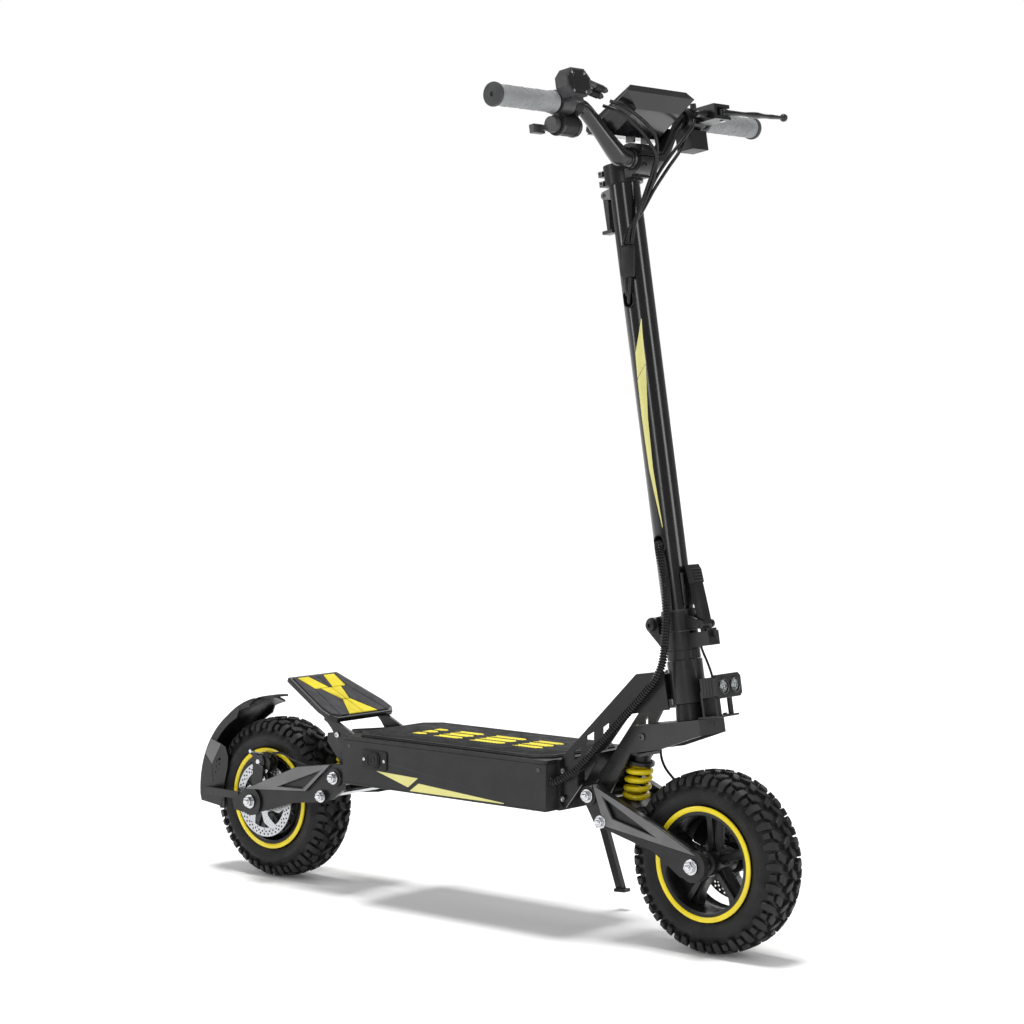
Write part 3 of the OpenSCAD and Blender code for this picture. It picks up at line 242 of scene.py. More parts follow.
def screen_glass(name):
    """Near-black glass under a clear coat."""
    m, nodes, links, shader = material(name)
    place = nodes.new("ShaderNodeTexCoord").outputs["Object"]
    cloud = noise(nodes, links, place, 30.0)
    links.new(mixed(nodes, links, cloud, (0.004, 0.005, 0.007), (0.012, 0.014, 0.018)),
              shader.inputs["Base Color"])
    links.new(ranged(nodes, links, cloud, 0.05, 0.12), shader.inputs["Roughness"])
    shader.inputs["Coat Weight"].default_value = 1.0
    shader.inputs["Coat Roughness"].default_value = 0.04
    return m


# The worn colours below are painted highlights laid on sharp convex edges.
BLACK_PAINT = surface("black_paint", (0.0075, 0.0075, 0.008), 0.33, 0.0, 0.2, 900, 0.05, 0.25, painted_edge_highlight=0.25,
                      painted_edge_highlight_colour=(0.07, 0.07, 0.072), spec=0.28)
GLOSS_BLACK = surface("gloss_black", (0.0055, 0.0055, 0.006), 0.2, 0.0, 0.5, 400, 0.02, 0.25, coat_rough=0.12)
DECK_PAINT = surface("deck_paint", (0.010, 0.010, 0.0105), 0.4, 0.0, 0.1, 1100, 0.06, 0.2, painted_edge_highlight=0.25,
                     painted_edge_highlight_colour=(0.07, 0.07, 0.072), spec=0.28)
GREY_PAINT = surface("grey_paint", (0.13, 0.13, 0.133), 0.42, 0.1, 0.1, 900, 0.05, 0.14, painted_edge_highlight=0.25,
                     painted_edge_highlight_colour=(0.3, 0.3, 0.3))
ARM_PAINT = surface("arm_paint", (0.011, 0.011, 0.0115), 0.38, 0.0, 0.1, 900, 0.06, 0.25, painted_edge_highlight=0.25,
                    painted_edge_highlight_colour=(0.09, 0.09, 0.09), spec=0.28)
PLASTIC = surface("black_plastic", (0.009, 0.009, 0.0095), 0.46, 0.0, 0.0, 1500, 0.12, 0.25, spec=0.28)
SHINY_PLASTIC = surface("shiny_plastic", (0.007, 0.007, 0.008), 0.2, 0.0, 0.35, 700, 0.03, 0.25)
CAST = surface("cast_black", (0.011, 0.011, 0.0115), 0.36, 0.2, 0.1, 600, 0.12, 0.3, painted_edge_highlight=0.3,
               painted_edge_highlight_colour=(0.14, 0.14, 0.14), spec=0.28)
CONTROL_GREY = surface("control_grey", (0.045, 0.045, 0.047), 0.42, 0.1, 0.1, 900, 0.08, 0.22, painted_edge_highlight=0.3,
                       painted_edge_highlight_colour=(0.18, 0.18, 0.18), spec=0.28)
TYRE_RUBBER = surface("tyre_rubber", (0.0095, 0.0095, 0.0098), 0.52, 0.0, 0.0, 900, 0.16, 0.35, spec=0.26,
                      painted_edge_highlight=0.25,
                      painted_edge_highlight_colour=(0.04, 0.04, 0.04))
MAT_RUBBER = surface("mat_rubber", (0.010, 0.010, 0.0105), 0.55, 0.0, 0.0, 1300, 0.1, 0.25, spec=0.26)
PAD_GREY = surface("pad_grey", (0.062, 0.061, 0.066), 0.66, 0.0, 0.0, 1300, 0.2, 0.18, spec=0.3)
GRIP_GREY = surface("grip_grey", (0.235, 0.245, 0.25), 0.6, 0.0, 0.0, 1200, 0.12, 0.12, spec=0.3)
GRIP_CAP = surface("grip_cap", (0.05, 0.052, 0.053), 0.5, 0.0, 0.0, 1200, 0.1, 0.2, spec=0.26)
CABLE_BLACK = surface("cable_black", (0.006, 0.006, 0.0063), 0.3, 0.0, 0.1, 1500, 0.05, 0.25, spec=0.28)
YELLOW = surface("yellow_enamel", (0.8, 0.63, 0.01), 0.3, 0.0, 0.4, 500, 0.04, 0.08, coat_rough=0.15,
                 spec=0.28)
YELLOW_RUBBER = surface("yellow_rubber", (0.78, 0.66, 0.04), 0.6, 0.0, 0.0, 1300, 0.14, 0.1, spec=0.3)
PALE_DECAL = surface("pale_decal", (0.66, 0.63, 0.22), 0.35, 0.0, 0.3, 700, 0.02, 0.06)
STEEL = brushed("zinc_steel", (0.62, 0.63, 0.65), 0.24, (1.0, 8.0, 1.0))
ROTOR_STEEL = brushed("rotor_steel", (0.5, 0.51, 0.53), 0.3, (1.0, 1.0, 1.0))
DARK_STEEL = brushed("dark_steel", (0.1, 0.1, 0.11), 0.32, (1.0, 8.0, 1.0))
LENS = clear_lens("lens_clear")
SCREEN = screen_glass("screen_glass")
REFLECTOR = brushed("lamp_reflector", (0.22, 0.225, 0.23), 0.24, (1.0, 1.0, 1.0))
LED = surface("led_face", (0.75, 0.78, 0.7), 0.3, 0.0, 0.3, 500, 0.02, 0.1)
CELL_BLUE = surface("cell_wrap", (0.04, 0.12, 0.3), 0.35, 0.0, 0.2, 500, 0.03, 0.1)
CASE_METAL = brushed("controller_metal", (0.6, 0.61, 0.62), 0.35, (8.0, 1.0, 1.0))


# ---------------------------------------------------------------- mesh tools

BEVEL_FROM = 32  # edges sharper than this many degrees are rounded

def finished(data, name, mat, body, slot, bevel=0.0, segments=2, smooth=38):
    """Finishes mesh data as an object on its body: smooth faces, sharp edges and a bevel in mm."""
    data.shade_smooth()
    data.set_sharp_from_angle(angle=math.radians(smooth))
    obj = bpy.data.objects.new(name, data)
    bpy.context.scene.collection.objects.link(obj)
    data.materials.append(mat)
    if bevel:
        edge = obj.modifiers.new("edge", "BEVEL")
        edge.width = bevel / 1000
        edge.segments = segments
        edge.limit_method = "ANGLE"
        edge.angle_limit = math.radians(BEVEL_FROM)
        edge.harden_normals = True
    if body:
        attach(obj, body)
    return obj


def mesh(name, verts, faces, mat, body, slot, replaces=(), **edges):
    """Makes an object from points in mm, puts it on its CAD body, and hides the CAD parts it stands in for."""
    data = bpy.data.meshes.new(name)
    data.from_pydata([Vector(v) / 1000 for v in verts], [], faces)
    data.validate()
    bm = bmesh.new()
    bm.from_mesh(data)
    bmesh.ops.remove_doubles(bm, verts=bm.verts, dist=1e-6)
    bmesh.ops.recalc_face_normals(bm, faces=bm.faces)
    bm.to_mesh(data)
    bm.free()
    obj = finished(data, name, mat, body, slot, **edges)
    if replaces:
        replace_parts(obj, *replaces)
    return obj


class Shape:
    """Points and faces gathered from several simple forms, to become one mesh."""

    def __init__(self):
        self.verts, self.faces = [], []

    def add(self, verts, faces):
        n = len(self.verts)
        self.verts += [Vector(v) for v in verts]
        self.faces += [[i + n for i in f] for f in faces]
        return self

    def moved(self, move):
        self.verts = [move(v) for v in self.verts]
        return self

    def join(self, *others):
        for o in others:
            self.add(o.verts, o.faces)
        return self

    def make(self, name, mat, body, slot, **more):
        return mesh(name, self.verts, self.faces, mat, body, slot, **more)


def loft(rings, capped=True):
    """A skin over closed rings of equally many points, with a flat face on each end."""
    n = len(rings[0])
    faces = []
    for row in range(0, n * (len(rings) - 1), n):
        for i in range(n):
            j = (i + 1) % n
            faces.append([row + i, row + j, row + n + j, row + n + i])
    if capped:
        faces += [list(range(n))[::-1], [n * (len(rings) - 1) + i for i in range(n)]]
    return Shape().add([p for ring in rings for p in ring], faces)


def prism(loops, place, low, high):
    """A flat outline with holes, pushed from low to high. place turns (a, b, height) into a point."""
    shape = Shape()
    flat = [p for loop in loops for p in loop]
    caps = tessellate_polygon([[Vector((a, b, 0)) for a, b in loop] for loop in loops])
    n = len(flat)
    verts = [place(a, b, low) for a, b in flat] + [place(a, b, high) for a, b in flat]
    faces = [list(t) for t in caps] + [[i + n for i in reversed(t)] for t in caps]
    start = 0
    for loop in loops:
        k = len(loop)
        for i in range(k):
            j = (i + 1) % k
            faces.append([start + i, start + j, start + j + n, start + i + n])
        start += k
    return shape.add(verts, faces)


def along_y(a, b, h):
    """A point drawn in the side view: a ahead, b up and h to the left."""
    return Vector((a, h, b))


def upright(a, b, h):
    """A point drawn in plan: a ahead, b to the left and h up."""
    return Vector((a, b, h))


def basis(direction):
    """The direction and two more at right angles to it, each of length 1."""
    d = Vector(direction).normalized()
    side = d.cross(Vector((0, 0, 1)) if abs(d.z) < 0.9 else Vector((1, 0, 0))).normalized()
    return d, side, d.cross(side).normalized()


def lathe(profile, centre, axis, steps=48):
    """Revolves (radius, height) pairs about an axis. A profile that starts and ends at radius 0 is closed."""
    d, s, t = basis(axis)
    verts, faces = [], []
    for i in range(steps):
        a = 2 * math.pi * i / steps
        out = math.cos(a) * s + math.sin(a) * t
        verts += [Vector(centre) + out * r + d * h for r, h in profile]
    n = len(profile)
    for i in range(steps):
        j = (i + 1) % steps
        for k in range(n - 1):
            faces.append([i * n + k, i * n + k + 1, j * n + k + 1, j * n + k])
    return Shape().add(verts, faces)


def ring_lathe(profile, centre, axis, steps=64):
    """Revolves a closed (radius, height) outline into a ring."""
    return lathe(list(profile) + [profile[0]], centre, axis, steps)


def disc(r, h, chamfer=0.6):
    """Profile of a round puck with chamfered rims."""
    return [(0, 0), (r - chamfer, 0), (r, chamfer), (r, h - chamfer), (r - chamfer, h), (0, h)]


def smooth_path(points, per=8):
    """A Catmull-Rom curve through the points."""
    p = [Vector(q) for q in points]
    out = []
    for i in range(len(p) - 1):
        a, b, c, d = p[max(i - 1, 0)], p[i], p[i + 1], p[min(i + 2, len(p) - 1)]
        for k in range(per):
            t = k / per
            out.append(0.5 * ((2 * b) + (c - a) * t + (2 * a - 5 * b + 4 * c - d) * t * t
                              + (3 * b - a - 3 * c + d) * t * t * t))
    out.append(p[-1])
    return out


def even_path(points, step):
    """The same path with points a fixed distance apart."""
    out, left = [points[0]], step
    for a, b in zip(points, points[1:]):
        length, done = (b - a).length, 0.0
        while length - done >= left:
            done += left
            out.append(a.lerp(b, done / length))
            left = step
        left -= length - done
    return out


def tube(path, radius, sides=12, flat=1.0):
    """A tube along a path. radius is a number or one per point; flat squeezes it across."""
    path = [Vector(p) for p in path]
    n = len(path)
    radii = radius if isinstance(radius, list) else [radius] * n
    tangents = [(path[min(i + 1, n - 1)] - path[max(i - 1, 0)]).normalized() for i in range(n)]
    side = basis(tangents[0])[1]
    rings = []
    for p, t, r in zip(path, tangents, radii):
        side = (side - t * side.dot(t)).normalized()
        up = t.cross(side)
        turns = [2 * math.pi * k / sides for k in range(sides)]
        rings.append([p + side * (math.cos(a) * r) + up * (math.sin(a) * r * flat) for a in turns])
    return loft(rings)


def brick(x, y, z, place=upright):
    """A six-sided block between three pairs of limits."""
    verts = [place(a, b, c) for a in x for b in y for c in z]
    faces = [[0, 1, 3, 2], [4, 6, 7, 5], [0, 4, 5, 1], [2, 3, 7, 6], [0, 2, 6, 4], [1, 5, 7, 3]]
    return Shape().add(verts, faces)


def hexagon(centre, axis, r, h0, h1, turn=0.0):
    """A hex nut or bolt head with chamfered corners."""
    d, s, t = basis(axis)
    rings = []
    for scale, k in ((0.0, 0.0), (0.93, 0.0), (1.0, 0.12), (1.0, 0.8), (0.9, 1.0), (0.0, 1.0)):
        centre_of_row = Vector(centre) + d * (h0 + (h1 - h0) * k)
        turns = [math.radians(turn + 60 * i) for i in range(6)]
        rings.append([centre_of_row + (s * math.cos(a) + t * math.sin(a)) * r * scale for a in turns])
    return loft(rings, capped=False)


def socket_screw(centre, axis, r, h):
    """A cap screw with a round socket in its head."""
    profile = [(0, 0), (r * 0.92, 0), (r, h * 0.15), (r, h * 0.8), (r * 0.85, h), (r * 0.56, h),
               (r * 0.52, h * 0.4),
               (0, h * 0.4)]
    return lathe(profile, centre, axis, 12)


def screws(name, places, r, h, body, mat=None, slot="steel"):
    """One mesh of like screws, each at a point and facing along an axis."""
    shape = Shape()
    for centre, axis in places:
        shape.join(socket_screw(centre, axis, r, h))
    return shape.make(name, mat or DARK_STEEL, body, slot, smooth=30)


def bolt_stack(p, axis, r):
    """Washer, nut and the rounded end of the bolt, standing out along axis."""
    washer, top = 1.7, 1.7 + r * 0.72
    shape = lathe([(0, 0), (r * 1.22, 0), (r * 1.3, 0.4), (r * 1.3, 1.3), (r * 1.22, washer), (0, washer)], p,
                  axis, 32)
    shape.join(hexagon(p, axis, r, washer, top, 12))
    end = [(0, top), (r * 0.5, top), (r * 0.52, top + r * 0.2), (r * 0.36, top + r * 0.34),
           (0, top + r * 0.36)]
    return shape.join(lathe(end, p, axis, 24))


def refine(node, mat, bevel=0.8, segments=2, smooth=34):
    """A copy of a CAD node with its flat faces cleaned up and its edges rounded, shown in place of it."""
    source = frame["nodes"][node].data
    data = bpy.data.meshes.new(node + "_finished")
    data.from_pydata([v.co.copy() for v in source.vertices], [], [list(f.vertices) for f in source.polygons])
    bm = bmesh.new()
    bm.from_mesh(data)
    bmesh.ops.remove_doubles(bm, verts=bm.verts, dist=2e-6)
    bmesh.ops.dissolve_limit(bm, angle_limit=math.radians(0.6), verts=bm.verts, edges=bm.edges,
                             use_dissolve_boundaries=False)
    bm.to_mesh(data)
    bm.free()
    obj = finished(data, data.name, mat, body_of_node[node], slot_of_node[node], bevel, segments, smooth)
    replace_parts(obj, node)
    return obj


def dress(node, mat):
    """Keeps a CAD node as it is and gives it a material."""
    data = frame["nodes"][node].data
    data.materials.clear()
    data.materials.append(mat)


# ---------------------------------------------------------------- camera, floor and light

def camera():
    """The camera that was fitted to the photograph."""
    data = bpy.data.cameras.new("camera")
    data.lens = 88.6
    data.sensor_width = 36
    data.clip_end = 60
    obj = bpy.data.objects.new("camera", data)
    bpy.context.scene.collection.objects.link(obj)
    yaw, pitch = math.radians(130.583), math.radians(-2.9)
    look = Vector((math.cos(pitch) * math.cos(yaw), math.cos(pitch) * math.sin(yaw), math.sin(pitch)))
    obj.rotation_mode = "QUATERNION"
    obj.rotation_quaternion = look.to_track_quat("-Z", "Y")
    obj.location = (2.48042, -2.81182, 0.78647)
    bpy.context.scene.camera = obj


def floor():
    """A wide white floor just under the tyres."""
    data = bpy.data.meshes.new("floor")
    size = 40.0
    data.from_pydata([(-size, -size, 0), (size, -size, 0), (size, size, 0), (-size, size, 0)], [],
                     [(0, 1, 2, 3)])
    obj = bpy.data.objects.new("floor", data)
    bpy.context.scene.collection.objects.link(obj)
    m, nodes, links, shader = material("floor_white")
    place = nodes.new("ShaderNodeTexCoord").outputs["Object"]
    cloud = noise(nodes, links, place, 0.8)
    links.new(mixed(nodes, links, cloud, (0.93, 0.93, 0.93), (0.95, 0.95, 0.95)), shader.inputs["Base Color"])
    shader.inputs["Emission Color"].default_value = (1, 1, 1, 1)
    shader.inputs["Emission Strength"].default_value = 0.05
    shader.inputs["Roughness"].default_value = 0.9
    shader.inputs["Specular IOR Level"].default_value = 0.1
    data.materials.append(m)
    obj.location.z = -0.0005


def light(name, kind, strength, direction):
    """Adds a light that shines along direction, and gives its data and its object."""
    data = bpy.data.lights.new(name, kind)
    data.energy = strength
    obj = bpy.data.objects.new(name, data)
    bpy.context.scene.collection.objects.link(obj)
    obj.rotation_mode = "QUATERNION"
    obj.rotation_quaternion = Vector(direction).to_track_quat("-Z", "Y")
    return data, obj


def area_light(name, place, target, size, power):
    """A rectangular light at place that faces target."""
    data, obj = light(name, "AREA", power, Vector(target) - Vector(place))
    data.shape = "RECTANGLE"
    data.size, data.size_y = size
    obj.location = place


def white_room():
    """A white surround that lights the object softly, and is seen behind it at full brightness."""
    world = bpy.data.worlds.new("studio")
    bpy.context.scene.world = world
    world.use_nodes = True
    nodes, links = world.node_tree.nodes, world.node_tree.links
    soft = nodes["Background"]
    soft.inputs["Color"].default_value = (1, 1, 1, 1)
    soft.inputs["Strength"].default_value = 0.27
    seen = nodes.new("ShaderNodeBackground")
    seen.inputs["Color"].default_value = (1, 1, 1, 1)
    seen.inputs["Strength"].default_value = 1.0
    mix = nodes.new("ShaderNodeMixShader")
    links.new(nodes.new("ShaderNodeLightPath").outputs["Is Camera Ray"], mix.inputs["Fac"])
    links.new(soft.outputs[0], mix.inputs[1])
    links.new(seen.outputs[0], mix.inputs[2])
    links.new(mix.outputs[0], nodes["World Output"].inputs["Surface"])


def sun(strength, direction, spread):
    """Even light from above, soft at its shadows' edges."""
    data, _ = light("overhead", "SUN", strength, direction)
    data.angle = math.radians(spread)


def studio():
    """The surround, the lights and how colours are shown."""
    white_room()
    sun(3.0, (0.05, 0.06, -1.0), 20)
    area_light("key", (1.9, -3.3, 2.0), (0, 0, 0.4), (0.7, 2.4), 22)
    area_light("side", (3.6, 0.4, 1.6), (0.2, 0, 0.5), (0.8, 2.6), 30)
    area_light("rim", (-2.2, -2.6, 1.8), (0, 0, 0.5), (0.8, 2.4), 30)
    area_light("back", (-1.4, 3.2, 2.4), (0, 0, 0.5), (2.0, 2.0), 25)
    scene = bpy.context.scene
    scene.view_settings.view_transform = "Standard"
    scene.view_settings.exposure = 0.0


camera()
floor()
studio()


# ---------------------------------------------------------------- wheels

def tyre_profile():
    """The tyre's outline from its crown to the bead, as distance across and radius."""
    h, r = TYRE_HALF, TYRE_R
    return [(0, r), (0.3 * h, r - 0.5), (0.6 * h, r - 2), (0.82 * h, r - 6.5), (0.94 * h, r - 14),
            (h, r - 24),
            (0.98 * h, r - 36), (0.88 * h, RIM_R + 3)]


def profile_table():
    """The profile as points a millimetre apart, each with its outward normal."""
    pts = [Vector((y, r, 0)) for y, r in tyre_profile()]
    fine = even_path(smooth_path(pts, 12), 1.0)
    table = []
    for i, p in enumerate(fine):
        t = (fine[min(i + 1, len(fine) - 1)] - fine[max(i - 1, 0)]).normalized()
        table.append((p.x, p.y, -t.y, t.x))
    return table


PROFILE = profile_table()
TREAD_DEPTH = 6.0


def on_tyre(s, lift):
    """(across, radius) at s mm from the crown along the surface and lift mm outside it."""
    i = min(abs(s), len(PROFILE) - 1.001)
    k = int(i)
    f = i - k
    y, r, ny, nr = (PROFILE[k][j] * (1 - f) + PROFILE[k + 1][j] * f for j in range(4))
    return math.copysign(y + ny * lift, s) if s else 0.0, r + nr * lift


def carcass_lift(s):
    """How far the tyre's body lies under its tread blocks' tops: the grooves run out on the shoulder."""
    run_out = min(1.0, max(0.0, (abs(s) - 46) / 10))
    return -TREAD_DEPTH + run_out * (TREAD_DEPTH - 0.4)


# Tread blocks within one pitch: stations across the tyre, each with its two sides as shares of the pitch
BLOCKS = (
    ((-11.0, 0.06, 0.34), (-5.5, 0.14, 0.5), (-1.0, 0.2, 0.58), (3.0, 0.34, 0.66)),
    ((11.0, 0.56, 0.84), (5.5, 0.64, 1.0), (1.6, 0.74, 1.1), (-1.6, 0.9, 1.18)),
    ((-13.5, 0.5, 0.82), (-18.0, 0.44, 0.92), (-22.5, 0.58, 1.04), (-27.0, 0.66, 1.0)),
    ((13.5, 0.0, 0.32), (18.0, -0.06, 0.42), (22.5, 0.08, 0.54), (27.0, 0.16, 0.5)),
    ((-23.0, 0.1, 0.42), (-29.5, 0.12, 0.5), (-35.0, 0.16, 0.56), (-41.0, 0.18, 0.54), (-46.0, 0.2, 0.5)),
    ((23.0, 0.6, 0.92), (29.5, 0.62, 1.0), (35.0, 0.66, 1.06), (41.0, 0.68, 1.04), (46.0, 0.7, 1.0)),
    ((-31.0, 0.7, 0.98), (-36.0, 0.7, 1.02), (-41.5, 0.72, 1.0)),
    ((31.0, 0.2, 0.48), (36.0, 0.2, 0.52), (41.5, 0.22, 0.5)),
)
PITCHES = 26


def tread_block(stations, start, pitch, axle):
    """One block of rubber that runs through its stations, with sloped sides."""
    shape = Shape()
    verts, faces = [], []
    slope = 1.0 / TYRE_R
    last = len(stations) - 1
    spread = math.copysign(1.0, stations[last][0] - stations[0][0])
    for k, (s, left, right) in enumerate(stations):
        trim = 0.8 * spread * (1 if k == 0 else -1 if k == last else 0)
        levels = ((carcass_lift(s) - 0.8, 0.0, 0.0), (-0.9, 0.25 * slope, 0.2 * trim), (0.0, slope, trim))
        for share, sign in ((left, 1), (right, -1)):
            for lift, slip, cut in levels:
                y, r = on_tyre(s + cut, lift)
                a = start + share * pitch + sign * slip
                verts.append(Vector((axle.x + r * math.cos(a), y, axle.z + r * math.sin(a))))
    for k in range(last):
        a, b = 6 * k, 6 * (k + 1)
        faces += [[a, a + 1, b + 1, b], [a + 1, a + 2, b + 2, b + 1], [a + 2, a + 5, b + 5, b + 2],
                  [a + 5, a + 4, b + 4, b + 5], [a + 4, a + 3, b + 3, b + 4]]
    for k, flip in ((0, False), (6 * last, True)):
        for f in ([k, k + 3, k + 4, k + 1], [k + 1, k + 4, k + 5, k + 2]):
            faces.append(f[::-1] if flip else f)
    return shape.add(verts, faces)


def tyre(name, node, axle, body):
    """The carcass with shallow rings on its walls, and its tread blocks."""
    outside = []
    for s in range(-71, 72, 3):
        y, r = on_tyre(s, carcass_lift(s))
        if 58 < abs(s) < 68:
            r += 0.35 * (1 if (abs(s) // 3) % 2 else -1)
        outside.append((r, y))
    h = TYRE_HALF
    inside = [(RIM_R - 3.8, 0.72 * h), (RIM_R - 3.8, 0.54 * h), (RIM_R + 4, 0.62 * h),
              (TYRE_R - 26, 0.74 * h),
              (TYRE_R - 18, 0.5 * h), (TYRE_R - 13, 0)]
    inside += [(r, -y) for r, y in reversed(inside[:-1])]
    shape = ring_lathe(outside + inside, axle, ACROSS, 104)
    pitch = 2 * math.pi / PITCHES
    for i in range(PITCHES):
        for stations in BLOCKS:
            shape.join(tread_block(stations, i * pitch, pitch, axle))
    return shape.make(name, TYRE_RUBBER, body, "tyre", replaces=(node,), smooth=30)


def rim_lip(name, axle, body):
    """The coloured band on both of a rim's flanges."""
    y = 0.9 * TYRE_HALF
    shape = Shape()
    for side in (-1, 1):
        band = [(RIM_R - 7.2, side * (y - 1.5)), (RIM_R - 7.4, side * (y + 0.2)),
                (RIM_R - 6.2, side * (y + 1.3)),
                (RIM_R - 1.5, side * (y + 1.5)), (RIM_R - 0.1, side * (y + 0.5)),
                (RIM_R - 0.2, side * (y - 1.5))]
        shape.join(ring_lathe(band, axle, ACROSS, 96))
    return shape.make(name, YELLOW, body, "wheel_black", smooth=50)


def rim_barrel(axle):
    """The rim's hollow drum between its two flanges."""
    h = TYRE_HALF
    b = RIM_R - 4.2
    half = [(b - 9, 0.86 * h), (b - 7, 0.885 * h), (b + 2, 0.885 * h), (RIM_R - 0.4, 0.88 * h), (b, 0.7 * h)]
    ring = half + [(r, -y) for r, y in reversed(half)]
    ring += [(b - 6.5, -0.7 * h), (b - 5.5, -0.5 * h), (b - 9, -0.2 * h), (b - 9, 0.2 * h),
             (b - 5.5, 0.5 * h),
             (b - 6.5, 0.7 * h)]
    return ring_lathe(ring, axle, ACROSS, 96)


def around(axle, angle):
    """A place() whose first number runs out from the axle at an angle, and whose second runs across that."""
    c, s = math.cos(angle), math.sin(angle)
    return lambda a, b, h: Vector((axle.x + a * c - b * s, h, axle.z + a * s + b * c))


def spoke(axle, angle):
    """A blade that widens towards the rim, with a raised rib along its middle."""
    place = around(axle, angle)
    out = RIM_R - 10
    blade = prism([[(14, -9), (30, -6), (52, -8), (out, -17), (out, 17), (52, 8), (30, 6), (14, 9)]], place,
                  -9, 9)
    return blade.join(prism([[(16, -3.2), (out - 2, -4.5), (out - 2, 4.5), (16, 3.2)]], place, -15, 15))


def front_rim():
    """Rim drum, five spokes, hub and valve."""
    body = "front_wheel"
    shape = rim_barrel(FRONT_AXLE)
    shape.make("front_rim_barrel", BLACK_PAINT, body, "wheel_black", replaces=("front_rim",), smooth=36)
    spokes = Shape()
    for i in range(5):
        spokes.join(spoke(FRONT_AXLE, math.radians(72 * i + 20)))
    spokes.make("front_rim_spokes", BLACK_PAINT, body, "wheel_black", bevel=1.6, segments=3)
    half = [(17, 0), (18, 12), (19.5, 20), (17, 28), (13, 30), (13, 37), (12, 37.8), (7, 37.8)]
    hub = [(r, -h) for r, h in half[:0:-1]] + half
    ring_lathe(hub, FRONT_AXLE, ACROSS, 48).make("front_hub", BLACK_PAINT, body, "wheel_black", smooth=30)
    stem = [FRONT_AXLE + Vector((RIM_R - d, y, 0)) for d, y in ((12, 4), (22, 6), (36, 12))]
    tube(stem, [3.0, 2.6, 2.2], 12).make("front_valve", CABLE_BLACK, body, "wheel_black")
    rim_lip("front_rim_band", FRONT_AXLE, body)


def hub_motor():
    """The rear rim drum round a hub motor, with ribs and screws on both its covers."""
    body = "rear_wheel"
    rim_barrel(REAR_AXLE).make("rear_rim_barrel", BLACK_PAINT, body, "wheel_black",
                               replaces=("rear_hub_motor",),
                               smooth=36)
    half = [(8, 41), (22, 41), (24, 40), (24, 33), (30, 30.5), (52, 29), (58, 27), (61, 23), (62, 14),
            (66, 10),
            (70, 8), (RIM_R - 9, 7)]
    cover = half + [(r, -h) for r, h in reversed(half)]
    ring_lathe(cover, REAR_AXLE, ACROSS, 96).make("motor_case", BLACK_PAINT, body, "wheel_black", smooth=30)
    fins, heads = Shape(), []
    rib = [(30, -1.2), (57, -1.8), (57, 1.8), (30, 1.2)]
    for side in (-1, 1):
        for i in range(18):
            fins.join(prism([rib], around(REAR_AXLE, math.radians(20 * i)),
                            *sorted((side * 26, side * 31.4))))
        heads += [(around(REAR_AXLE, math.radians(40 * i))(66, 0, side * 9.5), ACROSS * side)
                  for i in range(9)]
    fins.make("motor_ribs", BLACK_PAINT, body, "wheel_black", bevel=0.5)
    screws("motor_screws", heads, 2.6, 2.4, body)
    rim_lip("rear_rim_band", REAR_AXLE, body)


def circle(cx, cy, r, n):
    """An outline of n points round a centre."""
    turns = [2 * math.pi * i / n for i in range(n)]
    return [(cx + r * math.cos(a), cy + r * math.sin(a)) for a in turns]


def rotor(name, node, axle, y, body):
    """A perforated brake disc whose ring is held by curved arms."""
    r = (corners(node)[1].x - corners(node)[0].x) / 2
    loops = [circle(0, 0, r, 120), circle(0, 0, 14.5, 40)]
    arms = 6
    for i in range(arms):
        base = 2 * math.pi * i / arms
        outer = [(r - 14, base + math.radians(a) + 0.42) for a in range(-21, 22, 6)]
        right = [(out, base + 0.30 + (out - 22) / 30 * 0.42) for out in (38, 32, 27)]
        inner = [(22, base + math.radians(a)) for a in (14, 6, -2, -10)]
        left = [(out, base - 0.26 + (out - 22) / 30 * 0.42) for out in (27, 32, 38)]
        loops.append([(out * math.cos(a), out * math.sin(a)) for out, a in outer + right + inner + left])
    for row, (radius, count, size) in enumerate(((r - 4, 40, 1.6), (r - 8.2, 40, 1.6), (r - 11.4, 20, 1.2))):
        for i in range(count):
            a = 2 * math.pi * (i + 0.5 * (row % 2)) / count
            loops.append(circle(radius * math.cos(a), radius * math.sin(a), size, 10))
    plate = prism(loops, around(axle, 0), y - 0.9, y + 0.9)
    plate.make(name, ROTOR_STEEL, body, "steel", replaces=(node,), smooth=30)
    side = math.copysign(1, y)
    heads = [(around(axle, math.radians(60 * i))(18, 0, y + side * 0.9), ACROSS * side) for i in range(6)]
    screws(name + "_screws", heads, 2.4, 1.8, body)


def rotor_carrier():
    """The raised seat between the front hub and its brake disc."""
    low, high = corners("front_rotor")[0].y, corners("front_rotor")[1].y - 2
    profile = [(14.6, low), (21, low), (22, low + 1), (22, high - 0.4), (14.6, high - 0.1)]
    seat = ring_lathe(profile, Vector((FRONT_AXLE.x, 0, FRONT_AXLE.z)), ACROSS, 40)
    seat.make("front_rotor_carrier", BLACK_PAINT, "front_wheel", "steel", smooth=30)


tyre("front_tyre_tread", "front_tyre", FRONT_AXLE, "front_wheel")
tyre("rear_tyre_tread", "rear_tyre", REAR_AXLE, "rear_wheel")
front_rim()
hub_motor()
rotor("front_disc", "front_rotor", FRONT_AXLE, corners("front_rotor")[1].y - 1, "front_wheel")
rotor("rear_disc", "rear_rotor", REAR_AXLE, corners("rear_rotor")[0].y + 1, "rear_wheel")
rotor_carrier()


# ---------------------------------------------------------------- swing arms

def beside(p, a, share, off):
    """A point share of the way from p to a, and off mm above that line."""
    d = Vector((a.x - p.x, a.z - p.z))
    n = d.normalized()
    up = Vector((-n.y, n.x)) if n.x > 0 else Vector((n.y, -n.x))
    q = Vector((p.x, p.z)) + d * share + up * off
    return (q.x, q.y)


